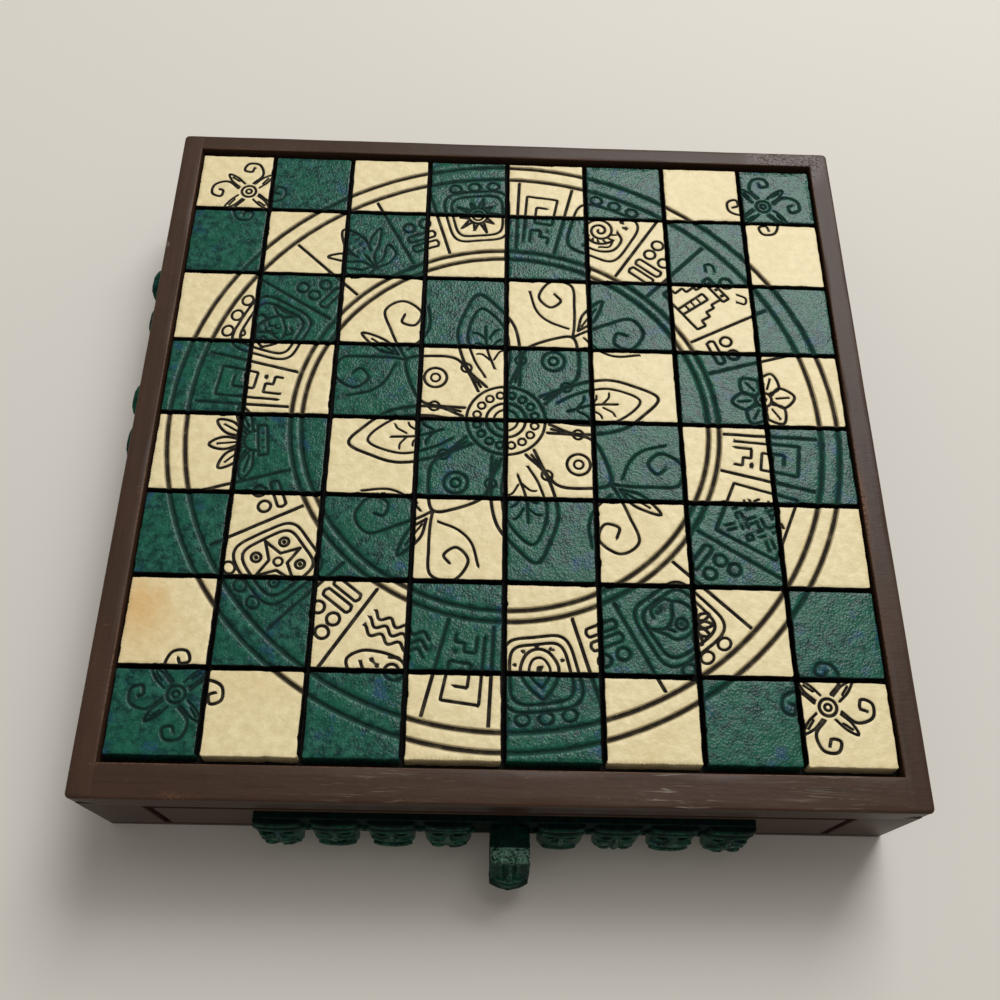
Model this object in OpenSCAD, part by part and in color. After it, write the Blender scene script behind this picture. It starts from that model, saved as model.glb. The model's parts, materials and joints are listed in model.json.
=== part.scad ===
/* [Playing field] */
// Distance between the joints of two neighbouring inner squares
square_pitch = 33.3; // [25:0.1:45]
// Width of the squares in the columns next to the side rails
outer_square = 30.2; // [22:0.1:40]
// Depth of the squares in the row next to the front rail
front_square = 30; // [20:0.1:40]
// Depth of the squares in the row next to the back rail
back_square = 28.5; // [20:0.1:40]
// Width of the joint between two squares
joint_w = 1.3; // [0.6:0.1:3]
// Thickness of the stone squares
square_t = 5.4; // [3:0.1:10]
// Thickness of the black bed that the squares are set in
bed_t = 2.5; // [1:0.1:6]

/* [Top frame] */
// Width of the left and right rail
side_rail_w = 8.3; // [5:0.1:15]
// Width of the back rail
back_rail_w = 7.5; // [5:0.1:15]
// Width of the front rail
front_rail_w = 11.7; // [6:0.1:20]
// How far the rails stand above the squares
rail_proud = 1.1; // [0:0.1:4]
// Gap between the squares and the side rails
side_gap = 0.9; // [0.5:0.1:6]
// Gap between the squares and the back rail
back_gap = 2.7; // [0.5:0.1:6]
// Gap between the squares and the front rail
front_gap = 2.1; // [0.5:0.1:8]
// Radius of the case's four upright corners
corner_r = 2; // [1:0.5:6]

/* [Case] */
// Thickness of the base panel
base_t = 4; // [3:0.1:8]
// Thickness of the deck that carries the bed and the rails
deck_t = 3; // [2:0.1:8]
// Clear height between the base panel and the deck
bay_h = 32; // [30:0.5:60]
// Thickness of the left and right wall
wall_t = 10; // [6:0.5:16]
// Width of the corner stiles beside the drawers
stile_w = 21.4; // [18:0.1:32]
// Thickness of the corner stiles, front to back
stile_t = 12; // [8:0.5:20]
// Thickness of the partition between the two drawers
partition_t = 8; // [4:0.5:14]
// Height of the guide strips beside the drawers
guide_h = 10; // [6:0.5:20]

/* [Base nails] */
// Diameter of a nail's shank
nail_d = 1.4; // [1:0.1:2.5]
// Diameter of a nail's head
nail_head_d = 3.4; // [2.6:0.1:6]
// Thickness of a nail's head
nail_head_t = 0.8; // [0.5:0.1:1.5]
// Length of a nail
nail_l = 16; // [10:0.5:26]
// Clearance round a nail in its hole
nail_clear = 0.05; // [0.02:0.01:0.1]
// Distance of the outer nails from the front and back of the case
nail_inset = 7; // [5:0.5:9]
// Number of nails along each side wall
nails_per_wall = 5; // [3:1:8]

/* [Drawers] */
// Gap between a drawer front and the stile beside it
front_side_gap = 2.8; // [1.2:0.1:4]
// Gap between a drawer front and the deck above it
front_top_gap = 3; // [1:0.1:5]
// Gap between a drawer front and the base panel below it
front_bottom_gap = 0.8; // [0.4:0.1:2]
// Running clearance between a drawer box and its guide strips
guide_clear = 1; // [0.4:0.1:1.2]
// Running clearance under a drawer and behind it
run_clear = 0.3; // [0.2:0.05:0.6]
// Thickness of a drawer front
drawer_front_t = 10; // [6:0.5:16]
// Thickness of a drawer's sides and back
drawer_wall_t = 6; // [4:0.5:10]
// Thickness of a drawer's bottom panel
drawer_bottom_t = 3; // [2:0.1:5]
// Gap between the top of the drawer sides and the deck
drawer_head_gap = 4.5; // [2:0.5:8]
// Thickness of the felt that lines a drawer
felt_t = 1; // [0.5:0.1:2]
// Clearance round the felt
felt_clear = 0.3; // [0.1:0.1:1]

/* [Carved friezes] */
// Distance between two neighbouring heads of a frieze
head_pitch = 19.2; // [18:0.1:21]
// Width of one carved head
head_w = 17; // [12:0.1:17.5]
// Height of the backing strip of a frieze
strip_h = 24; // [18:0.5:27]
// Thickness of the backing strip of a frieze
strip_t = 2.5; // [1.5:0.1:4]
// How far the backing strip runs on past the middle of its end heads
strip_end = 7.4; // [3:0.1:12]
// Reach of the drawer heads out of the strip, at the jaw
head_reach = 5.5; // [3:0.5:9]
// How far the brow of a drawer head lies behind its jaw, as a share of the head's reach
head_lean = 0.5; // [0:0.05:0.6]
// Height of a carved head
head_h = 21; // [16:0.5:23]
// How far the drawer friezes sit to the right of the middle
frieze_shift = 1.5; // [0:0.1:4]
// Reach of the tallest head on the left wall
tall_reach = 7.8; // [3:0.1:9]
// Reach of the middling heads on the left wall
middling_reach = 6.8; // [3:0.1:9]
// Reach of the other heads on the left and right wall
low_reach = 3.8; // [2:0.1:9]
// How far the pulls sit to the right of the middle
pull_shift = 3.2; // [0:0.1:4]
// Width of a pull
pull_w = 14; // [10:0.1:15]
// Reach of the pull out of the drawer front
pull_reach = 22; // [16:0.5:30]
// Height of the pull
pull_h = 22; // [16:0.5:24]

/* [Chessmen] */
// Diameter of the base of the officers
officer_d = 21; // [18:0.5:22]
// Diameter of the base of the pawns
pawn_d = 17; // [14:0.5:20]
// Height of a king
king_h = 60; // [52:1:64]
// Height of a queen
queen_h = 56; // [48:1:64]
// Height of a bishop
bishop_h = 51; // [44:1:64]
// Height of a knight
knight_h = 46; // [40:1:60]
// Height of a rook
rook_h = 42; // [36:1:60]
// Height of a pawn
pawn_h = 36; // [32:1:42]
// Thickness of the base of every man
foot_t = 4; // [3:0.5:6]
// Depth of the eyes, mouths and doorways carved into the men
carve_d = 0.7; // [0.3:0.1:1.2]
// Space between a man and the felt or wood next to it
man_clear = 0.2; // [0.1:0.1:1]

/* [Hidden] */
// One node for each separate piece
$fn = 64;

dark_wood = [0.27, 0.21, 0.17];
raw_wood = [0.72, 0.58, 0.40];
green_stone = [0.11, 0.33, 0.29];
cream_stone = [0.87, 0.80, 0.60];
black_bed = [0.05, 0.05, 0.05];
green_felt = [0.10, 0.26, 0.16];

// Field and case in plan, with the middle crossing of the field as field centre
files = 8;
field_half = 3 * square_pitch + joint_w / 2;
field_w = 2 * (field_half + outer_square);
case_w = field_w + 2 * (side_gap + side_rail_w);
case_d = 2 * field_half + back_square + front_square
  + back_gap + front_gap + back_rail_w + front_rail_w;
field_cy = case_d / 2 - back_rail_w - back_gap - back_square - field_half;

// Heights above the surface that the case stands on
deck_z = base_t + bay_h;
frame_z = deck_z + deck_t;
square_z = frame_z + bed_t;
rail_h = bed_t + square_t + rail_proud;
case_h = frame_z + rail_h;

// The two bays, each measured from the outer face of the case inwards
bay_w = case_w - 2 * stile_w;
guide_w = stile_w - wall_t + front_side_gap - guide_clear;
guide_l = (case_d - partition_t) / 2 - stile_t;
drawer_w = bay_w - 2 * front_side_gap;
drawer_l = (case_d - partition_t) / 2 - run_clear;
drawer_z = base_t + run_clear;
drawer_floor = drawer_z + drawer_bottom_t;
drawer_top = deck_z - drawer_head_gap;
face_z = base_t + front_bottom_gap;
face_h = bay_h - front_bottom_gap - front_top_gap;
inner_w = drawer_w - 2 * drawer_wall_t;
inner_l = drawer_l - drawer_front_t - drawer_wall_t;
felt_top = drawer_floor + felt_t;

// How far stacked parts of one solid are sunk into each other
lap = 0.4;

// Edges of a square along one axis, counted from the low side; the first and last have their own size
function edge_low(i, first) =
  i == 0 ? -field_half - first : (i - 4) * square_pitch + joint_w / 2;
function edge_high(i, last) =
  i == files - 1 ? field_half + last : (i - 3) * square_pitch - joint_w / 2;

// A board given by its low corner and its size
module board(low, size) {
  translate(low) cube(size);
}

// Rounds the upright corners of a board that reaches into the corners of the case
module round_corners() {
  difference() {
    children();
    for (sx = [-1, 1], sy = [-1, 1])
      translate([sx * (case_w / 2 - corner_r), sy * (case_d / 2 - corner_r), -1])
        difference() {
          translate([sx > 0 ? 0 : -corner_r - 1, sy > 0 ? 0 : -corner_r - 1, 0])
            cube([corner_r + 1, corner_r + 1, case_h + 2]);
          translate([0, 0, -1]) cylinder(r = corner_r, h = case_h + 4);
        }
  }
}

// The case
module nail_places() {
  rows = nails_per_wall - 1;
  run = case_d - 2 * nail_inset;
  for (side = [-1, 1], i = [0 : rows])
    translate([side * (case_w - wall_t) / 2, -run / 2 + i * run / rows, 0]) children();
}

module nail(extra) {
  cylinder(d = nail_head_d + 2 * extra, h = nail_head_t + extra);
  cylinder(d = nail_d + 2 * extra, h = nail_l + extra);
}

module base_nails() {
  color("dimgray") nail_places() nail(0);
}

module base_panel() {
  color(dark_wood) difference() {
    round_corners() board([-case_w / 2, -case_d / 2, 0], [case_w, case_d, base_t]);
    nail_places() nail(nail_clear);
  }
}

module wall(side) {
  length = case_d - 2 * stile_t;
  color(dark_wood) difference() {
    translate([side * (case_w - wall_t) / 2, 0, base_t + bay_h / 2])
      cube([wall_t, length, bay_h], center = true);
    nail_places() nail(nail_clear);
  }
}

module stile(side, end) {
  color(dark_wood) difference() {
    round_corners()
      translate([side * (case_w - stile_w) / 2, end * (case_d - stile_t) / 2, base_t + bay_h / 2])
        cube([stile_w, stile_t, bay_h], center = true);
    nail_places() nail(nail_clear);
  }
}

module partition() {
  width = case_w - 2 * wall_t;
  color(raw_wood) board([-width / 2, -partition_t / 2, base_t], [width, partition_t, bay_h]);
}

module guide(side, end) {
  x = side * (case_w / 2 - wall_t - guide_w / 2);
  y = end * (partition_t + guide_l) / 2;
  color(raw_wood) translate([x, y, base_t + guide_h / 2])
    cube([guide_w, guide_l, guide_h], center = true);
}

module deck() {
  color(dark_wood) round_corners()
    board([-case_w / 2, -case_d / 2, deck_z], [case_w, case_d, deck_t]);
}

// Corners of the room inside the four rails
function inner_corner(sx, sy) = [
  sx * (case_w / 2 - side_rail_w),
  sy * case_d / 2 - (sy > 0 ? back_rail_w : -front_rail_w)
];

// The side rails run the whole depth of the case; the front and back rails stand between them
module side_rail(side) {
  x = side > 0 ? case_w / 2 - side_rail_w : -case_w / 2;
  color(dark_wood) round_corners()
    board([x, -case_d / 2, frame_z], [side_rail_w, case_d, rail_h]);
}

module cross_rail(y, width) {
  color(dark_wood)
    board([side_rail_w - case_w / 2, y, frame_z], [case_w - 2 * side_rail_w, width, rail_h]);
}

module bed() {
  low = inner_corner(-1, -1);
  high = inner_corner(1, 1);
  color(black_bed) board([low[0], low[1], frame_z], [high[0] - low[0], high[1] - low[1], bed_t]);
}

// Squares of one colour, where the near left corner square is a green one
module squares(parity) {
  translate([0, field_cy, square_z])
    for (i = [0 : files - 1], j = [0 : files - 1])
      if ((i + j) % 2 == parity) {
        x = edge_low(i, outer_square);
        y = edge_low(j, front_square);
        right = edge_high(i, outer_square);
        far = edge_high(j, back_square);
        board([x, y, 0], [right - x, far - y, square_t]);
      }
}

module green_squares() {
  color(green_stone) squares(0);
}

module cream_squares() {
  color(cream_stone) squares(1);
}

// A carved head in a half drum, facing -Y: the lean sets its brow further back than its jaw
module carved_head(reach, lean) {
  r = head_w / 2;
  brow_reach = reach * (1 - lean);
  top = head_h / 2;
  brow_h = head_h * 0.24;
  jaw_h = head_h * 0.22;
  jaw_z = -top + head_h * 0.06;
  side_view = [
    [lap, top], [-brow_reach * 0.6, top], [-brow_reach, top * 0.8],
    [-reach, -top * 0.2], [-reach, -top * 0.62], [-reach * 0.7, -top], [lap, -top]
  ];
  intersection() {
    translate([-r, 0, 0]) rotate([90, 0, 90]) linear_extrude(head_w) polygon(side_view);
    union() {
      translate([0, r - (reach + brow_reach) / 2, top - brow_h]) cylinder(r = r, h = brow_h);
      translate([0, r - reach + carve_d, -top]) cylinder(r = r - carve_d, h = head_h);
      translate([0, r - reach, jaw_z]) cylinder(r = r, h = jaw_h);
      translate([-r * 0.2, -reach, jaw_z + jaw_h * 1.5]) cube([r * 0.4, reach, head_h * 0.3]);
    }
  }
  for (s = [-1, 1])
    translate([s * r * 0.78, lap, top * 0.1]) rotate([90, 0, 0])
      cylinder(d = r * 0.4, h = brow_reach * 0.8 + lap);
}

// A strip with one place for a head for each reach, its back on y = 0; a reach of 0 stays bare
module frieze(reaches, lean) {
  last = len(reaches) - 1;
  strip_l = last * head_pitch + 2 * strip_end;
  board([-strip_l / 2, -strip_t, -strip_h / 2], [strip_l, strip_t, strip_h]);
  for (i = [0 : last])
    if (reaches[i] > 0)
      translate([(i - last / 2) * head_pitch, -strip_t, 0]) carved_head(reaches[i], lean);
}

frieze_z = face_z + face_h / 2;
heads = 9;
middle_head = (heads - 1) / 2;
drawer_reaches = [for (i = [0 : heads - 1]) i == middle_head ? 0 : head_reach];
right_reaches = [for (i = [0 : heads - 1]) low_reach];
left_reaches = [
  for (i = [0 : heads - 1])
    i == 0 ? tall_reach : i == 1 || i == 3 || i == middle_head ? middling_reach : low_reach
];

module left_relief() {
  color(green_stone)
    translate([-case_w / 2, 0, frieze_z]) rotate([0, 0, -90]) frieze(left_reaches, 0);
}

module right_relief() {
  color(green_stone)
    translate([case_w / 2, 0, frieze_z]) rotate([0, 0, 90]) frieze(right_reaches, 0);
}

// Drawer pieces in the place of the front drawer; the back drawer is the same one turned round
module drawer_face() {
  color(dark_wood) board([-drawer_w / 2, -case_d / 2, face_z], [drawer_w, drawer_front_t, face_h]);
}

module drawer_side(side) {
  color(raw_wood) translate([side * (drawer_w - drawer_wall_t) / 2, 0, 0])
    board(
      [-drawer_wall_t / 2, -case_d / 2 + drawer_front_t, drawer_floor],
      [drawer_wall_t, drawer_l - drawer_front_t, drawer_top - drawer_floor]
    );
}

module drawer_rear() {
  y = -case_d / 2 + drawer_l - drawer_wall_t;
  color(raw_wood)
    board([-inner_w / 2, y, drawer_floor], [inner_w, drawer_wall_t, drawer_top - drawer_floor]);
}

module drawer_bottom() {
  color(raw_wood)
    board(
      [-drawer_w / 2, -case_d / 2 + drawer_front_t, drawer_z],
      [drawer_w, drawer_l - drawer_front_t, drawer_bottom_t]
    );
}

module drawer_felt() {
  width = inner_w - 2 * felt_clear;
  length = inner_l - 2 * felt_clear;
  y = -case_d / 2 + drawer_front_t + felt_clear;
  color(green_felt) board([-width / 2, y, drawer_floor], [width, length, felt_t]);
}

module drawer_frieze() {
  color(green_stone)
    translate([frieze_shift, -case_d / 2, frieze_z]) frieze(drawer_reaches, head_lean);
}

// The pull is a head on a short neck, whose face looks out and up, drawn in its side view
pull_out = pull_reach - strip_t;
face_high = [pull_out * 0.56, pull_h * 0.32];
face_low = [pull_out * 0.9, -pull_h * 0.14];
function on_face(t, depth) = face_high + t * (face_low - face_high)
  - depth * [face_high[1] - face_low[1], face_low[0] - face_high[0]] / norm(face_low - face_high);

module side_cut(width, outline) {
  translate([-width / 2, 0, 0]) rotate([90, 0, 90]) mirror([1, 0, 0]) linear_extrude(width)
    polygon(outline);
}

module drawer_pull() {
  waist_r = pull_w * 0.5;
  slot_w = pull_w * 0.1;
  color(green_stone) translate([pull_shift, -case_d / 2 - strip_t, frieze_z]) {
    difference() {
      side_cut(pull_w, [
        [0, pull_h * 0.41], [pull_out * 0.36, pull_h * 0.5], [pull_out * 0.52, pull_h * 0.41],
        face_high, face_low, [pull_out, -pull_h * 0.27], [pull_out * 0.93, -pull_h * 0.43],
        [pull_out * 0.6, -pull_h * 0.5], [pull_out * 0.3, -pull_h * 0.41], [0, -pull_h * 0.32]
      ]);
      for (s = [-1, 1]) {
        translate([s * (pull_w / 2 + waist_r * 0.88), -pull_out * 0.7, -pull_h])
          cylinder(r = waist_r, h = 2 * pull_h);
        translate([s * pull_w * 0.2, 0, 0])
          side_cut(slot_w, [
            on_face(0.1, -slot_w), on_face(0.8, -slot_w), on_face(0.8, slot_w), on_face(0.1, slot_w)
          ]);
      }
    }
    side_cut(pull_w * 0.94, [
      [pull_out * 0.3, pull_h * 0.52], [pull_out * 0.56, pull_h * 0.44],
      on_face(0.12, -slot_w), on_face(0.12, slot_w), [pull_out * 0.34, pull_h * 0.3]
    ]);
  }
}

// The chessmen stand on z = 0 and face -Y
module robe(h, d) {
  r = d / 2;
  cylinder(r = r, h = foot_t);
  rotate_extrude() polygon([
    [0, foot_t - lap], [r * 0.92, foot_t - lap], [r * 0.92, foot_t], [r * 0.75, foot_t * 1.5],
    [r * 0.66, h * 0.4], [r * 0.6, h * 0.62], [r * 0.74, h * 0.86], [r * 0.7, h], [0, h]
  ]);
  translate([-r * 0.3, -r * 0.86, foot_t - lap]) cube([r * 0.6, r * 0.5, h * 0.46]);
}

module mask(w, h) {
  depth = w * 0.88;
  front = -depth / 2;
  difference() {
    union() {
      translate([-w / 2, front, -lap]) cube([w, depth, h + lap]);
      translate([-w * 0.1, front - w * 0.09, h * 0.34]) cube([w * 0.2, w * 0.3, h * 0.5]);
      translate([-w * 0.46, front - w * 0.06, h * 0.74]) cube([w * 0.92, w * 0.3, h * 0.18]);
      for (s = [-1, 1])
        translate([s * w * 0.5, 0, h * 0.42]) rotate([0, 90, 0])
          cylinder(d = w * 0.42, h = w * 0.18, center = true);
    }
    for (s = [-1, 1])
      translate([s * w * 0.27, front + carve_d, h * 0.6]) rotate([90, 0, 0])
        cylinder(d = w * 0.2, h = w);
    translate([-w * 0.28, front + carve_d - w, h * 0.13]) cube([w * 0.56, w, h * 0.13]);
  }
}

module pawn() {
  face_w = pawn_d * 0.58;
  cap_h = pawn_h * 0.1;
  mask_h = pawn_h * 0.31;
  body_h = pawn_h - mask_h - cap_h;
  robe(body_h, pawn_d);
  translate([0, 0, body_h]) mask(face_w, mask_h);
  translate([0, 0, body_h + mask_h - lap]) cylinder(d = face_w * 1.24, h = cap_h + lap);
}

module bishop() {
  face_w = officer_d * 0.5;
  hat_h = bishop_h * 0.26;
  mask_h = bishop_h * 0.22;
  body_h = bishop_h - mask_h - hat_h;
  robe(body_h, officer_d);
  translate([0, 0, body_h]) mask(face_w, mask_h);
  translate([0, 0, body_h + mask_h - lap]) {
    cylinder(d = face_w * 1.3, h = hat_h * 0.2);
    cylinder(r1 = face_w * 0.6, r2 = face_w * 0.12, h = hat_h + lap);
  }
}

module queen() {
  face_w = officer_d * 0.5;
  hat_h = queen_h * 0.22;
  mask_h = queen_h * 0.21;
  body_h = queen_h - mask_h - hat_h;
  fan_r = officer_d * 0.48;
  robe(body_h, officer_d);
  translate([0, 0, body_h]) mask(face_w, mask_h);
  translate([0, 0, body_h + mask_h - lap]) cylinder(d = face_w * 1.2, h = hat_h * 0.45 + lap);
  translate([0, officer_d * 0.49, queen_h - fan_r]) rotate([90, 0, 0])
    cylinder(r = fan_r, h = officer_d * 0.36);
  translate([-face_w * 0.3, 0, body_h + mask_h * 0.4])
    cube([face_w * 0.6, officer_d * 0.44, queen_h - fan_r - body_h - mask_h * 0.4]);
}

module king() {
  face_w = officer_d * 0.52;
  hat_h = king_h * 0.27;
  mask_h = king_h * 0.21;
  body_h = king_h - mask_h - hat_h;
  tiers = 4;
  tier_h = hat_h / tiers;
  robe(body_h, officer_d);
  translate([0, 0, body_h]) mask(face_w, mask_h);
  for (i = [0 : tiers - 1]) {
    w = officer_d * (0.6 + 0.1 * i);
    translate([-w / 2, -officer_d * 0.26, body_h + mask_h + i * tier_h - lap])
      cube([w, officer_d * 0.74, tier_h + lap]);
  }
}

module knight() {
  t = officer_d * 0.42;
  neck_z = foot_t * 1.5;
  up = knight_h - neck_z;
  deep = officer_d * 0.46;
  cylinder(d = officer_d, h = foot_t);
  cylinder(d = officer_d * 0.86, h = neck_z);
  translate([-t / 2, 0, neck_z]) rotate([90, 0, 90]) difference() {
    linear_extrude(t) polygon([
      [-deep * 0.52, -lap], [deep * 0.73, -lap], [deep * 0.79, up * 0.5], [deep * 0.58, up * 0.86],
      [deep * 0.25, up], [-deep * 0.06, up * 0.93], [-deep * 0.62, up * 0.8], [-deep, up * 0.66],
      [-deep * 0.98, up * 0.52], [-deep * 0.66, up * 0.5], [-deep * 0.42, up * 0.56],
      [-deep * 0.27, up * 0.44], [-deep * 0.48, up * 0.2]
    ]);
    for (z = [-t + carve_d, t - carve_d])
      translate([-deep * 0.17, up * 0.76, z]) cylinder(d = t * 0.3, h = t);
  }
  for (s = [-1, 1])
    translate([s * t * 0.34 - t * 0.16, 0, neck_z + up * 0.82])
      cube([t * 0.32, deep * 0.36, up * 0.18]);
}

module rook() {
  tiers = 4;
  room = rook_h - foot_t;
  tier_h = room * 0.19;
  stair_w = officer_d * 0.3;
  temple_w = officer_d * 0.34;
  temple_h = room * 0.16;
  temple_z = foot_t + tiers * tier_h;
  cylinder(d = officer_d, h = foot_t);
  for (i = [0 : tiers - 1]) {
    w = officer_d * (0.66 - 0.1 * i);
    translate([-w / 2, -w / 2, foot_t + i * tier_h - lap]) cube([w, w, tier_h + lap]);
  }
  translate([-stair_w / 2, 0, foot_t - lap]) rotate([90, 0, 90]) linear_extrude(stair_w) polygon([
    [-officer_d * 0.42, 0], [0, 0], [0, tiers * tier_h + lap], [-officer_d * 0.2, tiers * tier_h + lap]
  ]);
  difference() {
    translate([-temple_w / 2, -temple_w / 2, temple_z - lap])
      cube([temple_w, temple_w, temple_h + lap]);
    translate([-temple_w * 0.16, -temple_w * 1.5 + carve_d, temple_z + temple_h * 0.1])
      cube([temple_w * 0.32, temple_w, temple_h * 0.6]);
  }
  translate([-temple_w * 0.62, -temple_w * 0.62, temple_z + temple_h - lap])
    cube([temple_w * 1.24, temple_w * 1.24, room * 0.08 + lap]);
}

// A man lies face up on the felt: officers with the foot at the drawer face, pawns at the rear
function lane_x(i) = (i - (files - 1) / 2) * (inner_w - officer_d - 4 * man_clear) / (files - 1);
officer_y = -case_d / 2 + drawer_front_t + felt_clear + man_clear;
pawn_y = -case_d / 2 + drawer_l - drawer_wall_t - felt_clear - man_clear;

module lay_officer(i) {
  translate([lane_x(i), officer_y, felt_top + man_clear + officer_d / 2])
    rotate([-90, 0, 0]) children();
}

module lay_pawns() {
  for (i = [0 : files - 1])
    translate([lane_x(i), pawn_y, felt_top + man_clear + pawn_d / 2])
      rotate([0, 0, 180]) rotate([-90, 0, 0]) pawn();
}

module turned() {
  rotate([0, 0, 180]) children();
}

base_panel();
base_nails();
wall(-1);  // left_wall
wall(1);  // right_wall
stile(-1, -1);  // front_left_stile
stile(1, -1);  // front_right_stile
stile(-1, 1);  // back_left_stile
stile(1, 1);  // back_right_stile
partition();
guide(-1, -1);  // front_left_guide
guide(1, -1);  // front_right_guide
guide(-1, 1);  // back_left_guide
guide(1, 1);  // back_right_guide
deck();
cross_rail(-case_d / 2, front_rail_w);  // front_rail
cross_rail(case_d / 2 - back_rail_w, back_rail_w);  // back_rail
side_rail(-1);  // left_rail
side_rail(1);  // right_rail
bed();
green_squares();
cream_squares();
left_relief();
right_relief();
drawer_face();  // front_drawer_face
drawer_side(-1);  // front_drawer_left_side
drawer_side(1);  // front_drawer_right_side
drawer_rear();  // front_drawer_rear
drawer_bottom();  // front_drawer_bottom
drawer_felt();  // front_drawer_felt
drawer_frieze();  // front_drawer_frieze
drawer_pull();  // front_drawer_pull
turned() drawer_face();  // back_drawer_face
turned() drawer_side(-1);  // back_drawer_left_side
turned() drawer_side(1);  // back_drawer_right_side
turned() drawer_rear();  // back_drawer_rear
turned() drawer_bottom();  // back_drawer_bottom
turned() drawer_felt();  // back_drawer_felt
turned() drawer_frieze();  // back_drawer_frieze
turned() drawer_pull();  // back_drawer_pull
color(green_stone) lay_officer(0) rook();  // green_rook_1
color(green_stone) lay_officer(1) knight();  // green_knight_1
color(green_stone) lay_officer(2) bishop();  // green_bishop_1
color(green_stone) lay_officer(3) queen();  // green_queen
color(green_stone) lay_officer(4) king();  // green_king
color(green_stone) lay_officer(5) bishop();  // green_bishop_2
color(green_stone) lay_officer(6) knight();  // green_knight_2
color(green_stone) lay_officer(7) rook();  // green_rook_2
color(green_stone) lay_pawns();  // green_pawns
color(cream_stone) turned() lay_officer(0) rook();  // cream_rook_1
color(cream_stone) turned() lay_officer(1) knight();  // cream_knight_1
color(cream_stone) turned() lay_officer(2) bishop();  // cream_bishop_1
color(cream_stone) turned() lay_officer(3) queen();  // cream_queen
color(cream_stone) turned() lay_officer(4) king();  // cream_king
color(cream_stone) turned() lay_officer(5) bishop();  // cream_bishop_2
color(cream_stone) turned() lay_officer(6) knight();  // cream_knight_2
color(cream_stone) turned() lay_officer(7) rook();  // cream_rook_2
color(cream_stone) turned() lay_pawns();  // cream_pawns
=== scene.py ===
"""Dresses the chess set in its drawer box: engraved squares, boards, carved heads and men."""

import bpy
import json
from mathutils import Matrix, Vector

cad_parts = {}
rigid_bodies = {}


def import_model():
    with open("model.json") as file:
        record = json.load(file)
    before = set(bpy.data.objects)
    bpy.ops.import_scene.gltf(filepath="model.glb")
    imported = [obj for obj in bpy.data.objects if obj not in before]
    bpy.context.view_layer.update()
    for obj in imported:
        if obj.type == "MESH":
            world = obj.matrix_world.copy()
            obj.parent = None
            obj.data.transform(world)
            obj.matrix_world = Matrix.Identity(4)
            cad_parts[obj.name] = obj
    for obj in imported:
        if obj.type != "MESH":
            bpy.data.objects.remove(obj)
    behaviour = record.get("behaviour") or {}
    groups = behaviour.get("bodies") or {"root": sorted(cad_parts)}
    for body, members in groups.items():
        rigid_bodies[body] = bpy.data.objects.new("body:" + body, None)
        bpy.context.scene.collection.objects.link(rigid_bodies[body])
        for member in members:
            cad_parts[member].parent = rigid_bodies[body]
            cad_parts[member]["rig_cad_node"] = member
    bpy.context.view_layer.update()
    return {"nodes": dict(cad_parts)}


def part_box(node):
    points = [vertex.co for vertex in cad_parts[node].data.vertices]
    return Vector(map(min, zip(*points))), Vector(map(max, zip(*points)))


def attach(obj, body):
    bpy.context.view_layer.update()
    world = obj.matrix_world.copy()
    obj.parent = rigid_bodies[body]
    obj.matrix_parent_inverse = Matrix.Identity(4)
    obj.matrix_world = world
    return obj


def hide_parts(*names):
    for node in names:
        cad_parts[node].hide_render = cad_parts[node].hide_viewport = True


bl_info = {
    "name": "Chess set in a drawer box",
    "version": (1, 0, 0),
    "blender": (4, 5, 0),
    "location": "View3D > Sidebar > Chess set",
    "description": "Builds the looks of a boxed stone chess set round its packed solids",
    "category": "Add Mesh",
}

import json
import math
import random
from functools import cache

import bmesh
import bpy
import numpy as np
from bpy.props import FloatProperty, FloatVectorProperty, IntProperty, PointerProperty
from mathutils import Matrix, Vector
from mathutils.geometry import delaunay_2d_cdt

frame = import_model()

# Lengths in this file are in millimetres, and become metres where a mesh is made
MM = 0.001


def corners(node):
    """Lowest and highest corner of a solid, in millimetres."""
    low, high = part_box(node)
    return np.array(low) / MM, np.array(high) / MM


def srgb(red, green, blue):
    """A shader's linear colour from one as a screen shows it, from 0 to 255."""
    def linear(part):
        part /= 255
        return part / 12.92 if part <= 0.04045 else ((part + 0.055) / 1.055) ** 2.4

    return linear(red), linear(green), linear(blue)


# Sizes and colours that a user would change


def length(name, description, millimetres):
    return FloatProperty(name=name, description=description, default=millimetres * MM, unit="LENGTH")


def shade(name, description, *shown):
    """A colour, given as a screen shows it."""
    return FloatVectorProperty(name=name, description=description, default=srgb(*shown), subtype="COLOR")


class SquareSizes(bpy.types.PropertyGroup):
    pitch: length("Pitch", "Distance between the joints of neighbouring squares", 33.3)
    joint: length("Joint", "Width of the joint between two squares", 1.3)
    rounding: length("Edge rounding", "Radius of the worn top edge of a square", 0.45)
    line_width: length("Line width", "Width of an engraved line", 1.22)
    line_depth: length("Line depth", "Depth of an engraved line", 0.55)
    ring_width: length("Ring groove width", "Width of the grooves of the two large rings", 2.4)
    ring_depth: length("Ring groove depth", "Depth of the grooves of the two large rings", 0.8)


class BoardSizes(bpy.types.PropertyGroup):
    rounding: length("Edge rounding", "Radius of the rounded outer edges of the rails", 1.1)
    inner_rounding: length("Inner rounding", "Radius of the rails' edges beside the squares", 0.5)
    board_edge: length("Board edge", "Radius of the broken edges of the other boards", 0.45)


class NailSizes(bpy.types.PropertyGroup):
    count: IntProperty(name="Nails in a row", description="Number of nails along each side", default=5, min=2)
    head: length("Head diameter", "Diameter of a nail's head", 3.4)
    head_thickness: length("Head thickness", "Thickness of a nail's head", 0.8)
    shank: length("Shank diameter", "Diameter of a nail's shank", 1.4)


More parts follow.
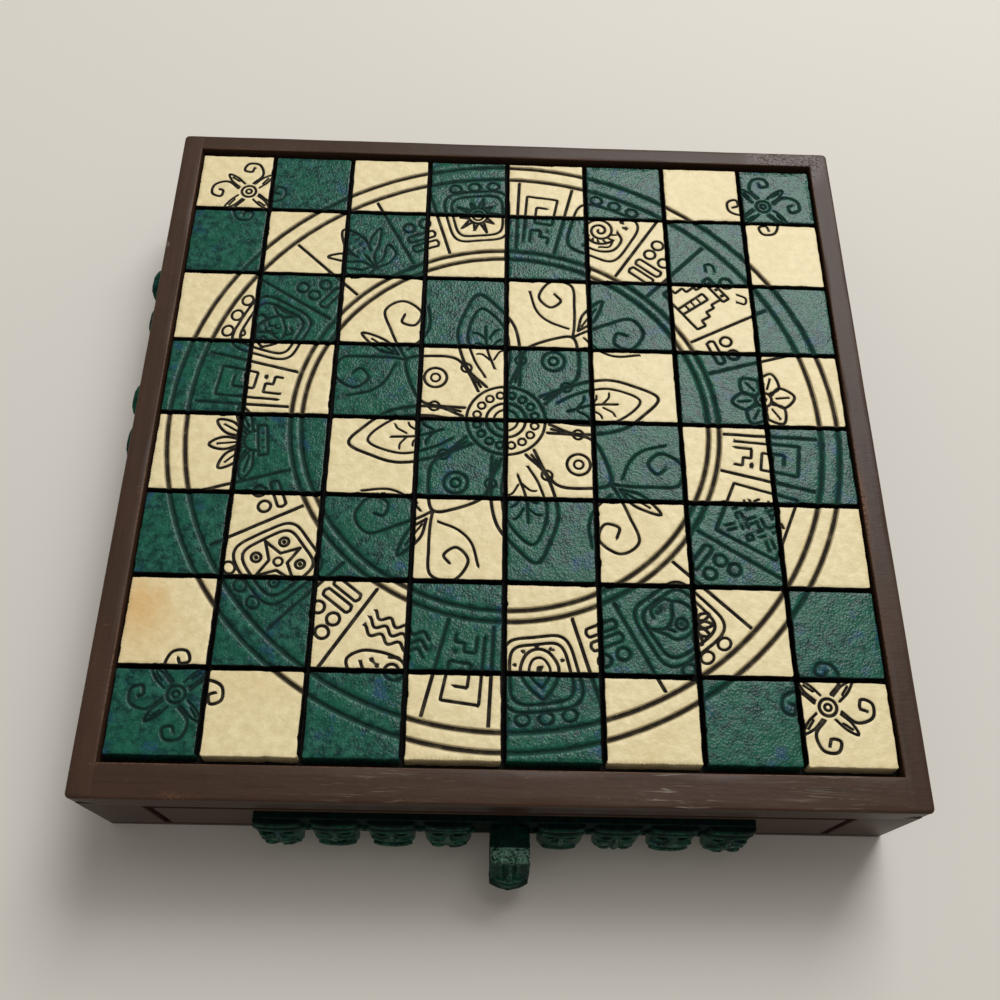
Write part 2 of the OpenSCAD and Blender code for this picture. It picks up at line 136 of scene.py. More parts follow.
class Colours(bpy.types.PropertyGroup):
    dark_wood: shade("Dark wood", "Stained and varnished wood of the case", 66, 47, 35)
    raw_wood: shade("Bare wood", "Bare wood of the drawers and guides", 196, 162, 118)
    green_stone: shade("Green stone", "Crushed green stone", 23, 78, 67)
    cream_stone: shade("Cream stone", "Crushed cream stone", 238, 222, 176)
    felt: shade("Felt", "Felt that lines the drawers", 34, 84, 58)
    floor: shade("Floor", "Pale floor under the set", 224, 219, 211)


class StageSizes(bpy.types.PropertyGroup):
    floor_size: FloatProperty(
        name="Floor size", description="Length of each side of the floor",
        default=6.0, unit="LENGTH")
    key_power: FloatProperty(
        name="Main light", description="Power of the large soft light behind the set",
        default=42.0, unit="POWER")
    top_power: FloatProperty(
        name="Top light", description="Power of the small soft light overhead",
        default=2.4, unit="POWER")
    fill_level: FloatProperty(
        name="Fill light", description="Strength of the even light from all round",
        default=0.275)


# Materials


class Wire:
    """One output of a material's nodes, which takes part in sums."""

    def __init__(self, surface, socket):
        self.surface = surface
        self.socket = socket

    def sum(self, operation, first, second):
        node = self.surface.node("ShaderNodeMath", {"operation": operation}, {0: first, 1: second})
        return Wire(self.surface, node.outputs[0])

    def __add__(self, other):
        return self.sum("ADD", self, other)

    __radd__ = __add__

    def __sub__(self, other):
        return self.sum("SUBTRACT", self, other)

    def __rsub__(self, other):
        return self.sum("SUBTRACT", other, self)

    def __mul__(self, other):
        return self.sum("MULTIPLY", self, other)

    __rmul__ = __mul__

    def step(self, low, high):
        """0 up to low, 1 from high on, and a smooth change between them."""
        node = self.surface.node(
            "ShaderNodeMapRange", {"interpolation_type": "SMOOTHSTEP"},
            {"Value": self, "From Min": low, "From Max": high})
        return Wire(self.surface, node.outputs[0])


class Nodes:
    """A node tree that is being filled."""

    def __init__(self, tree):
        self.tree = tree

    def node(self, kind, settings=(), inputs=()):
        node = self.tree.nodes.new(kind)
        for key, value in dict(settings).items():
            setattr(node, key, value)
        for key, value in dict(inputs).items():
            if isinstance(value, Wire):
                self.tree.links.new(value.socket, node.inputs[key])
            else:
                node.inputs[key].default_value = value
        return node

    def out(self, kind, output, settings=(), inputs=()):
        return Wire(self, self.node(kind, settings, inputs).outputs[output])


class Surface(Nodes):
    """A material that is being made."""

    def __init__(self, name):
        self.material = bpy.data.materials.new(name)
        self.material.use_nodes = True
        super().__init__(self.material.node_tree)
        self.tree.nodes.clear()
        self.place = self.out("ShaderNodeTexCoord", "Object")

    def stretched(self, scale, turn=(0, 0, 0)):
        """Object coordinates, turned and scaled."""
        return self.out(
            "ShaderNodeMapping", 0, {}, {"Vector": self.place, "Scale": scale, "Rotation": turn})

    def noise(self, scale, detail=2.0, roughness=0.5, place=None, warp=0.0):
        return self.out(
            "ShaderNodeTexNoise", 0, {},
            {"Vector": place or self.place, "Scale": scale, "Detail": detail,
             "Roughness": roughness, "Distortion": warp})

    def grains(self, scale):
        return self.out("ShaderNodeTexVoronoi", 0, {}, {"Vector": self.place, "Scale": scale})

    def marked(self, name):
        """A number that the piece's mesh carries at each point."""
        return self.out("ShaderNodeAttribute", "Fac", {"attribute_name": name})

    def near(self, spot, radius):
        """1 at a spot given in millimetres, 0 from its radius on."""
        away = self.out("ShaderNodeVectorMath", "Value", {"operation": "DISTANCE"}, {
            0: self.place, 1: tuple(part * MM for part in spot)})
        return 1.0 - away.step(0.0, radius * MM)

    def mix(self, share, first, second):
        def colour(value):
            return value if isinstance(value, Wire) else (*value, 1.0)

        return self.out(
            "ShaderNodeMix", 2, {"data_type": "RGBA"}, {0: share, 6: colour(first), 7: colour(second)})

    def bump(self, height, distance, strength):
        return self.out(
            "ShaderNodeBump", 0, {}, {"Height": height, "Distance": distance, "Strength": strength})

    def finish(self, **inputs):
        sockets = {key.replace("_", " "): value for key, value in inputs.items()}
        shader = self.node("ShaderNodeBsdfPrincipled", {}, sockets)
        output = self.node("ShaderNodeOutputMaterial")
        self.tree.links.new(shader.outputs[0], output.inputs["Surface"])
        return self.material


def tint(colour, *shares):
    """A colour with its red, green and blue scaled."""
    if len(shares) == 1:
        shares *= 3
    return tuple(part * share for part, share in zip(colour, shares))


def grain(surface, axis, scales, detail, roughness, warp=0.0):
    """Noise drawn out along a board's grain, from its scale across the grain and along it."""
    scale = [scales[0]] * 3
    scale[axis] = scales[1]
    return surface.noise(1.0, detail, roughness, surface.stretched(scale), warp)


# Places on the varnished wood with their radius: a spot of pale scuffs, and a glossy run of varnish
SCUFF, SCUFF_R = (-139.7, 81.5, 47.4), 2.2
GLAZE, GLAZE_R = (122.0, 139.0, 48.0), 24.0


def varnished_wood(name, axis, colour):
    """Dark stained wood: pores along the grain, brushed varnish, dust, scuffs and paler worn edges, with a
    painted highlight on the rails' inner edges, pale streaks that are partly painted sheen, and painted shade
    on the front rail's face.
    """
    s = Surface(name)
    fibre = grain(s, axis, (70.0, 9.0), 4.0, 0.6, 0.4)
    pores = grain(s, axis, (420.0, 30.0), 2.0, 0.5)
    cloud = s.noise(22.0, 3.0, 0.55)
    speck = s.noise(900.0, 2.0, 0.6)
    scratch = s.noise(1.0, 1.0, 0.5, s.stretched((260.0, 900.0, 900.0), (0.0, 0.0, 0.35)))
    streak = s.noise(1.0, 3.0, 0.6, s.stretched((70.0, 1500.0, 70.0)), 0.7)
    worn = s.marked("worn")
    # A spot of pale scuffs, and pale streaks on the front rail that are partly scuffs and partly painted
    # sheen
    scuff_and_sheen = s.near(SCUFF, SCUFF_R) * speck.step(0.4, 0.5) + s.marked("scuffed_and_sheen") * streak.step(0.56, 0.68)
    glaze = s.near(GLAZE, GLAZE_R).step(0.0, 0.5)
    base = s.mix(fibre.step(0.35, 0.7), tint(colour, 0.85, 0.83, 0.82), tint(colour, 1.1, 1.08, 1.06))
    base = s.mix(cloud.step(0.45, 0.75) * 0.3, base, tint(colour, 1.3, 1.25, 1.2))
    base = s.mix(pores.step(0.58, 0.72) * 0.4, base, tint(colour, 0.45))
    scratched = scratch.step(0.71, 0.76) * cloud.step(0.4, 0.6) * 0.5
    base = s.mix(scratched, base, tint(colour, 3.0, 2.8, 2.6))
    # Paler edges: worn varnish, and along the rails' inner edges also a painted highlight
    base = s.mix(worn * speck.step(0.36, 0.56), base, tint(colour, 3.8, 3.5, 3.2))
    base = s.mix(scuff_and_sheen, base, srgb(150, 140, 125))
    # Painted shade on the front rail's outer face, from the shade mark
    base = s.mix(s.marked("shade") * 0.8, base, tint(colour, 0.36, 0.3, 0.25))
    rough = 0.4 + fibre * 0.14 + worn * 0.15 - glaze * 0.25
    height = fibre * 0.5 + pores * 0.5 + s.noise(130.0, 3.0) * 1.1 + scratch * 0.3
    height += glaze * s.noise(620.0, 2.0) * 3.0
    return s.finish(
        Base_Color=base, Roughness=rough, Specular_IOR_Level=0.18, Coat_Weight=0.05,
        Coat_Roughness=0.22, Normal=s.bump(height, 0.00026, 0.7))


def bare_wood(name, axis, colour):
    """Pale sanded wood with growth lines."""
    s = Surface(name)
    lines = grain(s, axis, (60.0, 5.0), 3.0, 0.6, 1.2)
    fibre = grain(s, axis, (900.0, 40.0), 2.0, 0.6)
    base = s.mix(lines.step(0.3, 0.7), tint(colour, 0.78, 0.72, 0.62), tint(colour, 1.12, 1.1, 1.06))
    base = s.mix(fibre.step(0.55, 0.75) * 0.45, base, tint(colour, 0.6, 0.52, 0.42))
    return s.finish(
        Base_Color=base, Roughness=0.6 + fibre * 0.15, Specular_IOR_Level=0.3,
        Normal=s.bump(fibre + lines * 0.5, 0.00015, 0.6))


def green_resin(name, colour, depth=1.0, gloss=0.22, bright=(2.2, 1.6, 1.45)):
    """Crushed green stone: mottled, with blue patches and bright flecks that are partly painted glints, dark
    in its cuts. On the carvings the dark recesses are painted shade and the paler ridges partly a painted
    highlight.
    """
    s = Surface(name)
    mottle = s.noise(300.0, 4.0, 0.7)
    patch = s.noise(75.0, 2.0, 0.5, warp=0.6)
    blue = s.noise(110.0, 3.0, 0.6, s.stretched((1, 1, 1), (0.4, 0.2, 1.1)))
    fleck = s.grains(1100.0)
    tone = s.noise(1300.0, 1.0, 0.5)
    base = s.mix(mottle.step(0.36, 0.64), tint(colour, 0.35, 0.42, 0.5), tint(colour, *bright))
    base = s.mix(patch.step(0.42, 0.66) * 0.6, base, tint(colour, 0.7, 1.3, 0.95))
    blue = blue.step(0.57, 0.68) * mottle.step(0.38, 0.58) * 0.8
    base = s.mix(blue, base, tint(colour, 1.5, 0.7, 2.3))
    # Bright flecks, partly the stone's grains and partly painted glints
    glint = (1.0 - fleck.step(0.12, 0.3)) * tone.step(0.48, 0.6) * 0.6
    base = s.mix(glint, base, tint(colour, 6.0, 3.2, 2.8))
    line, ring, edge = s.marked("line"), s.marked("ring"), s.marked("edge")
    # Paler ridges on the carvings: partly wear, partly a painted highlight
    rubbed = s.marked("raised") * (mottle * 0.7 + tone).step(0.7, 1.0) * 0.6
    base = s.mix(rubbed, base, srgb(126, 160, 140))
    # Dark in the cuts: paint in the squares' engraving, painted shade in the carvings' recesses
    base = s.mix(line * 0.88, base, tint(colour, 0.1, 0.14, 0.16))
    base = s.mix(ring.step(0.2, 0.9) * 0.85, base, tint(colour, 0.2, 0.26, 0.25))
    # Darker rim and walls: wear at the rim, painted shade on the walls
    base = s.mix(edge * 0.5, base, tint(colour, 0.35))
    base = s.mix((s.marked("joint") + mottle * 0.4).step(0.4, 0.85), base, srgb(18, 22, 19))
    height = s.noise(620.0, 3.0, 0.6) * 0.9 + fleck * 0.5 + s.noise(210.0, 2.0) * 0.4
    rough = 0.12 + mottle * 0.2 + (ring + line) * 0.6
    return s.finish(
        Base_Color=base, Roughness=rough, Specular_IOR_Level=gloss,
        Normal=s.bump(height, 0.0003 * depth, 0.7))


def cream_resin(name, colour):
    """Crushed cream stone: faint tan clouds, dark paint left in the cuts."""
    s = Surface(name)
    mottle = s.noise(300.0, 3.0, 0.6)
    cloud = s.noise(34.0, 3.0, 0.55, warp=0.4)
    dust = s.noise(1400.0, 2.0, 0.7)
    base = s.mix(mottle.step(0.35, 0.68), tint(colour, 0.92, 0.9, 0.85), tint(colour, 1.03, 1.03, 1.03))
    base = s.mix(cloud.step(0.5, 0.72) * 0.3, base, tint(colour, 0.86, 0.77, 0.62))
    stain = s.marked("stain") * cloud.step(0.3, 0.6) * 0.75
    base = s.mix(stain, base, tint(colour, 0.85, 0.58, 0.33))
    base = s.mix(dust.step(0.66, 0.74) * 0.45, base, tint(colour, 0.5, 0.42, 0.3))
    line, ring, edge = s.marked("line"), s.marked("ring"), s.marked("edge")
    smear = s.noise(240.0, 3.0, 0.6)
    base = s.mix(ring.step(0.0, 0.3) * (0.45 + smear * 0.6), base, srgb(128, 112, 76))
    base = s.mix(ring.step(0.45, 0.8) * (0.7 + smear * 0.6), base, srgb(38, 30, 18))
    base = s.mix(line.step(0.2, 0.5) * (0.85 + smear * 0.3), base, srgb(20, 14, 8))
    # Tan rim and walls: wear at the rim, painted shade on the walls
    base = s.mix(edge * smear.step(0.3, 0.7) * 0.35, base, srgb(140, 122, 80))
    base = s.mix((s.marked("joint") + smear * 0.4).step(0.4, 0.85), base, srgb(22, 20, 16))
    height = s.noise(420.0, 3.0, 0.55) + dust * 0.25 + s.noise(150.0, 2.0) * 0.8
    rough = 0.34 + mottle * 0.14 + (ring + line) * 0.5
    return s.finish(
        Base_Color=base, Roughness=rough, Specular_IOR_Level=0.3, Normal=s.bump(height, 0.00034, 0.65))


def fuzzy_felt(name, colour):
    """Thin felt with short matted fibres."""
    s = Surface(name)
    fibre = s.noise(1100.0, 3.0, 0.7, s.stretched((1, 0.35, 1)), 1.5)
    patch = s.noise(60.0, 3.0, 0.6)
    lint = s.noise(1700.0, 1.0, 0.5)
    base = s.mix(fibre.step(0.3, 0.7), tint(colour, 0.62), tint(colour, 1.3))
    base = s.mix(patch.step(0.4, 0.7) * 0.4, base, tint(colour, 1.35, 1.25, 1.2))
    base = s.mix(lint.step(0.7, 0.76) * 0.6, base, tint(colour, 3.0, 2.6, 2.4))
    return s.finish(
        Base_Color=base, Roughness=0.95, Specular_IOR_Level=0.15, Sheen_Weight=0.35,
        Sheen_Roughness=0.5, Normal=s.bump(fibre + patch * 0.4, 0.0004, 0.9))


def nail_steel(name):
    """Dulled steel with darker spots."""
    s = Surface(name)
    spot = s.noise(700.0, 3.0, 0.6)
    base = s.mix(spot.step(0.4, 0.7), srgb(120, 118, 114), srgb(72, 62, 54))
    return s.finish(
        Base_Color=base, Metallic=0.85, Roughness=0.42 + spot * 0.2, Normal=s.bump(spot, 0.0001, 0.6))


def black_compound(name):
    """Matt black setting compound with dust in it."""
    s = Surface(name)
    dust = s.noise(600.0, 3.0, 0.6)
    base = s.mix(dust.step(0.5, 0.8) * 0.5, srgb(13, 12, 11), srgb(58, 54, 46))
    return s.finish(
        Base_Color=base, Roughness=0.75 + dust * 0.15, Specular_IOR_Level=0.25,
        Normal=s.bump(dust, 0.0003, 0.8))


# Each material is made once, with the colours that the user set


def chosen(name):
    """A colour from the sidebar."""
    return tuple(getattr(bpy.context.scene.chess_colours, name))


@cache
def green_stone():
    return green_resin("green_crushed_stone", chosen("green_stone"))


@cache
def carved_stone_in_shade():
    # A much darker copy of the green stone: painted shade for the carvings
    colour = tint(chosen("green_stone"), 0.16, 0.32, 0.33)
    return green_resin("green_carved_stone", colour, depth=1.5, gloss=0.08, bright=(3.6, 3.4, 2.6))


@cache
def men_green():
    return green_resin("green_turned_stone", tint(chosen("green_stone"), 0.8))


@cache
def cream_stone():
    return cream_resin("cream_crushed_stone", chosen("cream_stone"))


@cache
def men_cream():
    return cream_resin("cream_turned_stone", chosen("cream_stone"))


@cache
def dark_wood(axis):
    return varnished_wood(f"dark_wood_{'xyz'[axis]}", axis, chosen("dark_wood"))


@cache
def raw_wood(axis):
    return bare_wood(f"bare_wood_{'xyz'[axis]}", axis, chosen("raw_wood"))


# Meshes


def piece(name, points, faces, material, body, marks=(), sharp=38):
    """A finished piece from points in millimetres, with its material, on its body."""
    mesh = bpy.data.meshes.new(name)
    mesh.from_pydata((np.asarray(points, float) * MM).tolist(), [], faces)
    mesh.validate()
    for key, values in dict(marks).items():
        mark = mesh.attributes.new(key, "FLOAT", "POINT")
        mark.data.foreach_set("value", np.asarray(values, np.float32))
    return dress(bpy.data.objects.new(name, mesh), material, body, sharp)


def dress(thing, material, body, sharp=38):
    """Gives an object its material, smooth shading and body."""
    mesh = thing.data
    mesh.materials.clear()
    mesh.materials.append(material)
    mesh.shade_smooth()
    mesh.set_sharp_from_angle(angle=math.radians(sharp))
    if thing.name not in bpy.context.scene.collection.objects:
        bpy.context.scene.collection.objects.link(thing)
    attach(thing, body)
    return thing


class Recipe(Nodes):
    """A geometry node tree with named inputs."""

    def __init__(self, name, inputs):
        tree = bpy.data.node_groups.new(name, "GeometryNodeTree")
        tree.interface.new_socket("Geometry", in_out="OUTPUT", socket_type="NodeSocketGeometry")
        self.keys = {}
        for key, kind in inputs.items():
            item = tree.interface.new_socket(key, in_out="INPUT", socket_type=f"NodeSocket{kind}")
            self.keys[key] = item.identifier
        super().__init__(tree)
        self.given = self.node("NodeGroupInput")

    def take(self, key):
        return Wire(self, self.given.outputs[key])

    def along(self, length):
        """A vector of that length along z."""
        return self.out("ShaderNodeCombineXYZ", 0, {}, {"Z": length})

    def together(self, *shapes):
        node = self.node("GeometryNodeJoinGeometry")
        for shape in shapes:
            self.tree.links.new(shape.socket, node.inputs[0])
        return Wire(self, node.outputs[0])

    def finish(self, shape):
        """Ends the tree with real geometry and its material."""
        real = self.out("GeometryNodeRealizeInstances", 0, {}, {0: shape})
        dyed = self.out(
            "GeometryNodeSetMaterial", 0, {}, {"Geometry": real, "Material": self.take("Material")})
        output = self.node("NodeGroupOutput")
        self.tree.links.new(dyed.socket, output.inputs[0])

    def made(self, thing, values):
        """The mesh that the tree gives on an object, which is used up."""
        modifier = thing.modifiers.new("recipe", "NODES")
        modifier.node_group = self.tree
        for key, value in values.items():
            modifier[self.keys[key]] = value
        bpy.context.view_layer.update()
        graph = bpy.context.evaluated_depsgraph_get()
        mesh = bpy.data.meshes.new_from_object(thing.evaluated_get(graph))
        thing.modifiers.remove(modifier)
        bpy.data.objects.remove(thing)
        return mesh


def bare_object(points=(), faces=()):
    mesh = bpy.data.meshes.new("seed")
    mesh.from_pydata((np.asarray(points, float).reshape(-1, 3) * MM).tolist(), [], faces)
    thing = bpy.data.objects.new("seed", mesh)
    bpy.context.scene.collection.objects.link(thing)
    return thing


def row_recipe():
    """Copies of one shape in a straight row."""
    r = Recipe("row_of_copies", {
        "Shape": "Geometry", "Count": "Int", "Start": "Vector", "Step": "Vector", "Material": "Material"})
    line = r.out("GeometryNodeMeshLine", 0, {"mode": "OFFSET"}, {
        "Count": r.take("Count"), "Start Location": r.take("Start"), "Offset": r.take("Step")})
    copies = {"Points": line, "Instance": r.take("Shape")}
    r.finish(r.out("GeometryNodeInstanceOnPoints", 0, {}, copies))
    return r


def nail_recipe():
    """Wire nails, heads down, in two rows."""
    r = Recipe("nails_in_two_rows", {
        "Count": "Int", "Left Start": "Vector", "Right Start": "Vector", "Step": "Vector",
        "Head Radius": "Float", "Head Thickness": "Float", "Shank Radius": "Float", "Length": "Float",
        "Material": "Material"})

    def cone(low, high, length, at, sides=20):
        shape = r.out("GeometryNodeMeshCone", 0, {}, {
            "Vertices": sides, "Radius Bottom": low, "Radius Top": high, "Depth": length})
        return r.out("GeometryNodeTransform", 0, {}, {"Geometry": shape, "Translation": r.along(at)})

    head_r, head_t = r.take("Head Radius"), r.take("Head Thickness")
    shank_r, length = r.take("Shank Radius"), r.take("Length")
    nail = r.together(
        cone(head_r * 0.84, head_r, head_t * 0.3, 0.0),
        cone(head_r, head_r * 0.97, head_t * 0.7, head_t * 0.3),
        cone(shank_r, shank_r, length * 0.9 - head_t, head_t, 14),
        cone(shank_r, shank_r * 0.12, length * 0.1, length * 0.9, 14))
    rows = r.together(*(
        r.out("GeometryNodeMeshLine", 0, {"mode": "OFFSET"}, {
            "Count": r.take("Count"), "Offset": r.take("Step"),
            "Start Location": r.take(f"{side} Start")})
        for side in ("Left", "Right")))
    r.finish(r.out("GeometryNodeInstanceOnPoints", 0, {}, {"Points": rows, "Instance": nail}))
    return r


# The engraving, in millimetres from the middle crossing of the field


# Steps of a curve between two of its knots
CURVE_STEPS = 10


class Engraving:
    """Lines to be cut: each a run of points with a width."""

    def __init__(self):
        self.lines = []

    def line(self, points, width=1.0):
        self.lines.append((np.array(points, float), width))

    def curve(self, knots, width=1.0):
        """A smooth line through all its knots."""
        k = np.array(knots, float)
        k = np.vstack([2 * k[0] - k[1], k, 2 * k[-1] - k[-2]])
        t = np.linspace(0, 1, CURVE_STEPS, endpoint=False)[:, None]
        runs = []
        for a, b, c, d in zip(k, k[1:], k[2:], k[3:]):
            square = 2 * a - 5 * b + 4 * c - d
            cube = 3 * b - 3 * c + d - a
            runs.append(0.5 * (2 * b + (c - a) * t + square * t**2 + cube * t**3))
        self.line(np.vstack([*runs, k[-2][None]]), width)

    def arc(self, centre, radius, start=0.0, end=360.0, width=1.0):
        count = max(8, int(abs(math.radians(end - start)) * radius / 0.8))
        a = np.radians(np.linspace(start, end, count + 1))
        self.line(np.c_[centre[0] + radius * np.cos(a), centre[1] + radius * np.sin(a)], width)

    def spiral(self, centre, inner, outer, start, turns):
        a = np.linspace(0, turns * 2 * math.pi, max(12, int(abs(turns) * 26)))
        r = np.linspace(inner, outer, len(a))
        a += math.radians(start)
        self.line(np.c_[centre[0] + r * np.cos(a), centre[1] + r * np.sin(a)])

    def dot(self, x, y, width=1.5):
        self.line([(x - 0.12, y), (x + 0.12, y)], width)

    def placed(self, other, warp):
        """Takes over another engraving's lines, each point moved by warp."""
        for points, width in other.lines:
            self.lines.append((warp(points), width))

    def both_sides(self, draw):
        """Draws something and its mirror image."""
        half = Engraving()
        draw(half)
        self.placed(half, lambda p: p)
        self.placed(half, lambda p: p * (-1, 1))


def polar(radius, angle, centre=(0.0, 0.0)):
    """The point at a distance and angle from a centre."""
    return centre[0] + radius * math.cos(angle), centre[1] + radius * math.sin(angle)


def turned(angle, *places, origin=(0.0, 0.0)):
    """Points given by their places along a direction and aside of it."""
    along = np.array([math.cos(angle), math.sin(angle)])
    aside = np.array([-along[1], along[0]])
    return [origin + along * x + aside * y for x, y in places]


def oval(half_x, half_y, power, angles):
    """x and y of a boxy oval, which is squarer with a lower power."""
    c, s = np.cos(angles), np.sin(angles)
    return half_x * np.sign(c) * abs(c) ** power, half_y * np.sign(s) * abs(s) ** power


def cartouche(e, wide, high, double):
    for size in (1.0, 0.8) if double else (1.0,):
        e.line(np.c_[oval(wide * size, high * size, 0.45, np.radians(np.arange(0, 361, 6)))])


def leaf(e, angle, half, tip, width=1.0, origin=(0.0, 0.0)):
    """A leaf along a direction, from one half of its outline and the distance of its tip."""
    back = [(x, -y) for x, y in half[::-1]]
    e.curve(turned(angle, *half, (tip, 0), *back, origin=origin), width=width)


def flower(e):
    for k in range(6):
        angle = math.radians(60 * k + 30)
        leaf(e, angle, [(3.4, 1.4), (7.5, 4.2)], 12.4)
        e.line([polar(5.2, angle), polar(9.6, angle)], 0.8)
    e.arc((0, 0), 3.2)
    e.arc((0, 0), 1.1, width=0.8)


def shell(e):
    middle = (-1, 1)
    e.spiral(middle, 1.0, 9.5, 200, 2.4)
    for k in range(7):
        angle = math.radians(205 + 26 * k)
        e.line([polar(6.9, angle, middle), polar(9.0, angle + 0.12, middle)], 0.8)
    e.curve([(8, 4), (12, 0), (11, -8), (4, -12), (-6, -12)])
    e.curve([(8, -2), (8, -7), (3, -9.4)], width=0.8)
    e.dot(10.5, 9)
    e.dot(7, 11.5)


def mirrored(points):
    """The same points on the left, the last one first."""
    return [(-x, y) for x, y in points[::-1]]


def stepped_house(e):
    steps = [(-12, -12), (-12, -8), (-9, -8), (-9, -4), (-6.4, -4), (-6.4, 0), (-4.6, 0), (-4.6, 5)]
    e.line([*steps, *mirrored(steps), steps[0]])
    e.line([(-1.8, -12), (-1.8, 0.6), (1.8, 0.6), (1.8, -12)])
    for y in (-9, -6, -3):
        e.line([(-1.8, y), (1.8, y)], 0.7)
    e.line([(-6, 5), (-6, 8), (6, 8), (6, 5), (-6, 5)])
    for x in (-3.5, 0, 3.5):
        e.dot(x, 6.5, 1.2)
    e.arc((0, 12), 2.4)
    for side in (-1, 1):
        e.curve([(9 * side, 10), (11 * side, 12), (9 * side, 14), (6.5 * side, 12.4)], width=0.8)


def rayed_sun(e):
    e.arc((0, 0), 5.2)
    e.arc((0, 0), 3.0, width=0.8)
    e.dot(0, 0, 1.7)
    half = math.radians(9)
    for k in range(10):
        angle = math.radians(36 * k)
        tip = 12.5 if k % 2 == 0 else 10
        e.line([polar(6.4, angle - half), polar(tip, angle), polar(6.4, angle + half)])


def running_water(e):
    for y in (-9.5, -6.2, -2.9):
        x = np.linspace(-12, 12, 40)
        e.line(np.c_[x, y + 1.2 * np.sin(x * 0.9)])
    e.spiral((-4, 6), 0.9, 4.8, 90, 1.6)
    e.curve([(-4, 1.2), (2, 1.6), (8, 4), (11, 9), (8, 12.5), (4.6, 10.6), (6.5, 8)])
    for x, y in ((1.5, 6.5), (4, 5.4), (-10, 12)):
        e.dot(x, y)


def maize(e):
    e.curve([(-3.2, -3), (-4.3, 3), (-2.6, 9), (0, 12.5), (2.6, 9), (4.3, 3), (3.2, -3)])
    for y in (-0.5, 2.4, 5.3, 8.2):
        for x in (-1.5, 1.5):
            e.dot(x, y, 1.15)
    e.both_sides(lambda h: h.curve([(0.5, -12), (3, -6), (8, -2), (12.5, 5), (7.5, 3), (3.6, -1)]))
    husk = [(1.5, -10), (6, -9), (11, -4), (12, -9.5), (6.5, -12.5), (1.5, -12)]
    e.both_sides(lambda h: h.curve(husk, width=0.85))
    e.line([(0, -12), (0, -3)], 0.8)


def drop(e):
    right = [(5.6, -9), (8.6, -2), (6, 5)]
    e.curve([(0, 12), *mirrored(right), (0, -11.4), *right, (0, 12)])
    right = [(2.9, -6.2), (4.7, -2), (3.6, 2)]
    e.curve([(0, 6.5), *mirrored(right), (0, -7.4), *right, (0, 6.5)], width=0.85)
    e.dot(0, -2.4, 1.8)
    for k in range(5):
        a = math.radians(200 + 35 * k)
        e.dot(11.6 * math.cos(a), -0.5 + 12.4 * math.sin(a), 1.2)


def woven_mat(e):
    for k in range(-1, 2):
        for sign in (-1, 1):
            for off in (-1.5, 1.5):
                a, b = np.array((-9.5, -9.5)), np.array((9.5, 9.5))
                shift = np.array((k * 8.4 + off, -(k * 8.4 + off))) * 0.5
                run = np.linspace(0.03 + 0.22 * abs(k), 0.97 - 0.22 * abs(k), 24)[:, None]
                p = a + (b - a) * run + shift
                gap = (np.arange(24) // 4 + (sign > 0)) % 2 == 0
                for s in np.split(np.arange(24), np.where(np.diff(gap.astype(int)))[0] + 1):
                    if gap[s[0]] and len(s) > 1:
                        e.line(p[s] * (sign, 1), 0.9)
    e.line([(-12, 12), (12, 12), (12, -12), (-12, -12), (-12, 12)])


def fish(e):
    e.curve([(-12, 0), (-7, 6), (1, 7), (7, 2.5), (9, 0), (7, -2.5), (1, -7), (-7, -6), (-12, 0)])
    e.curve([(8.6, 1.5), (13, 7), (12, 0), (13, -7), (8.6, -1.5)])
    e.arc((-7.4, 1.6), 1.6)
    e.curve([(-4.4, 5.6), (-2.6, 0), (-4.4, -5.6)])
    for x in (-0.5, 3):
        for y in (-2.6, 0.9):
            e.arc((x, y + 0.8), 1.7, 100, 260, 0.75)
    e.curve([(-2, 7), (1, 11), (5, 9.5), (4, 4.6)])
    e.curve([(-1, -7), (2, -10.5), (5, -8)])
    e.curve([(-12, 11), (-10, 12.5), (-8, 11), (-6, 12.5)], width=0.8)


def crested_bird(e):
    e.curve([(12, -4), (6, -1), (1, -3), (-5, -9), (-9, -4), (-8, 3), (-2, 7), (5, 6), (8, 1), (12, -4)])
    e.arc((-1, 1.5), 2.6)
    e.dot(-1, 1.5, 1.5)
    e.line([(6, -1), (3.6, 2.6)], 0.8)
    for k in range(4):
        leaf(e, math.radians(86 + 26 * k), [(5, 0), (8, 1.6)], 11.5, origin=(-2.6, 2.6))
    e.curve([(-5, -9), (-2, -12.5), (6, -12), (8, -8)])
    e.dot(2, -9.5)
    e.dot(5, -9)


def crossed_star(e):
    e.line([(12, 0), (3, 3), (0, 12), (-3, 3), (-12, 0), (-3, -3), (0, -12), (3, -3), (12, 0)])
    e.arc((0, 0), 2.0, width=0.85)
    for x in (-1, 1):
        for y in (-1, 1):
            e.arc((x * 7.2, y * 7.2), 2.2)
            e.dot(x * 7.2, y * 7.2, 1.2)


def feather_fan(e):
    root = (0, -6.5)
    for k in range(5):
        angle = math.radians(90 + 33 * (k - 2))
        leaf(e, angle, [(5, 0.8), (12, 2.5)], 17.5, origin=root)
        e.line([polar(7, angle, root), polar(14, angle, root)], 0.75)
    e.arc(root, 4.6, 0, 180)
    e.line([(-7, -7), (7, -7), (7, -10.5), (-7, -10.5), (-7, -7)])
    for x in (-3.5, 0, 3.5):
        e.dot(x, -8.8, 1.2)


def bars_and_dots(e, bars, dots):
    y = -12.5
    for _ in range(bars):
        right = [(5.6, y), (6.4, y + 1.6), (5.6, y + 3.2)]
        e.line([(-5.6, y), (-6.4, y + 1.6), (-5.6, y + 3.2), *right[::-1], (-5.6, y)])
        y += 5.2
    for k in range(dots):
        e.arc(((k % 2 - 0.5) * 7.0, y + 2.4 + (k // 2) * 6.0), 2.3)


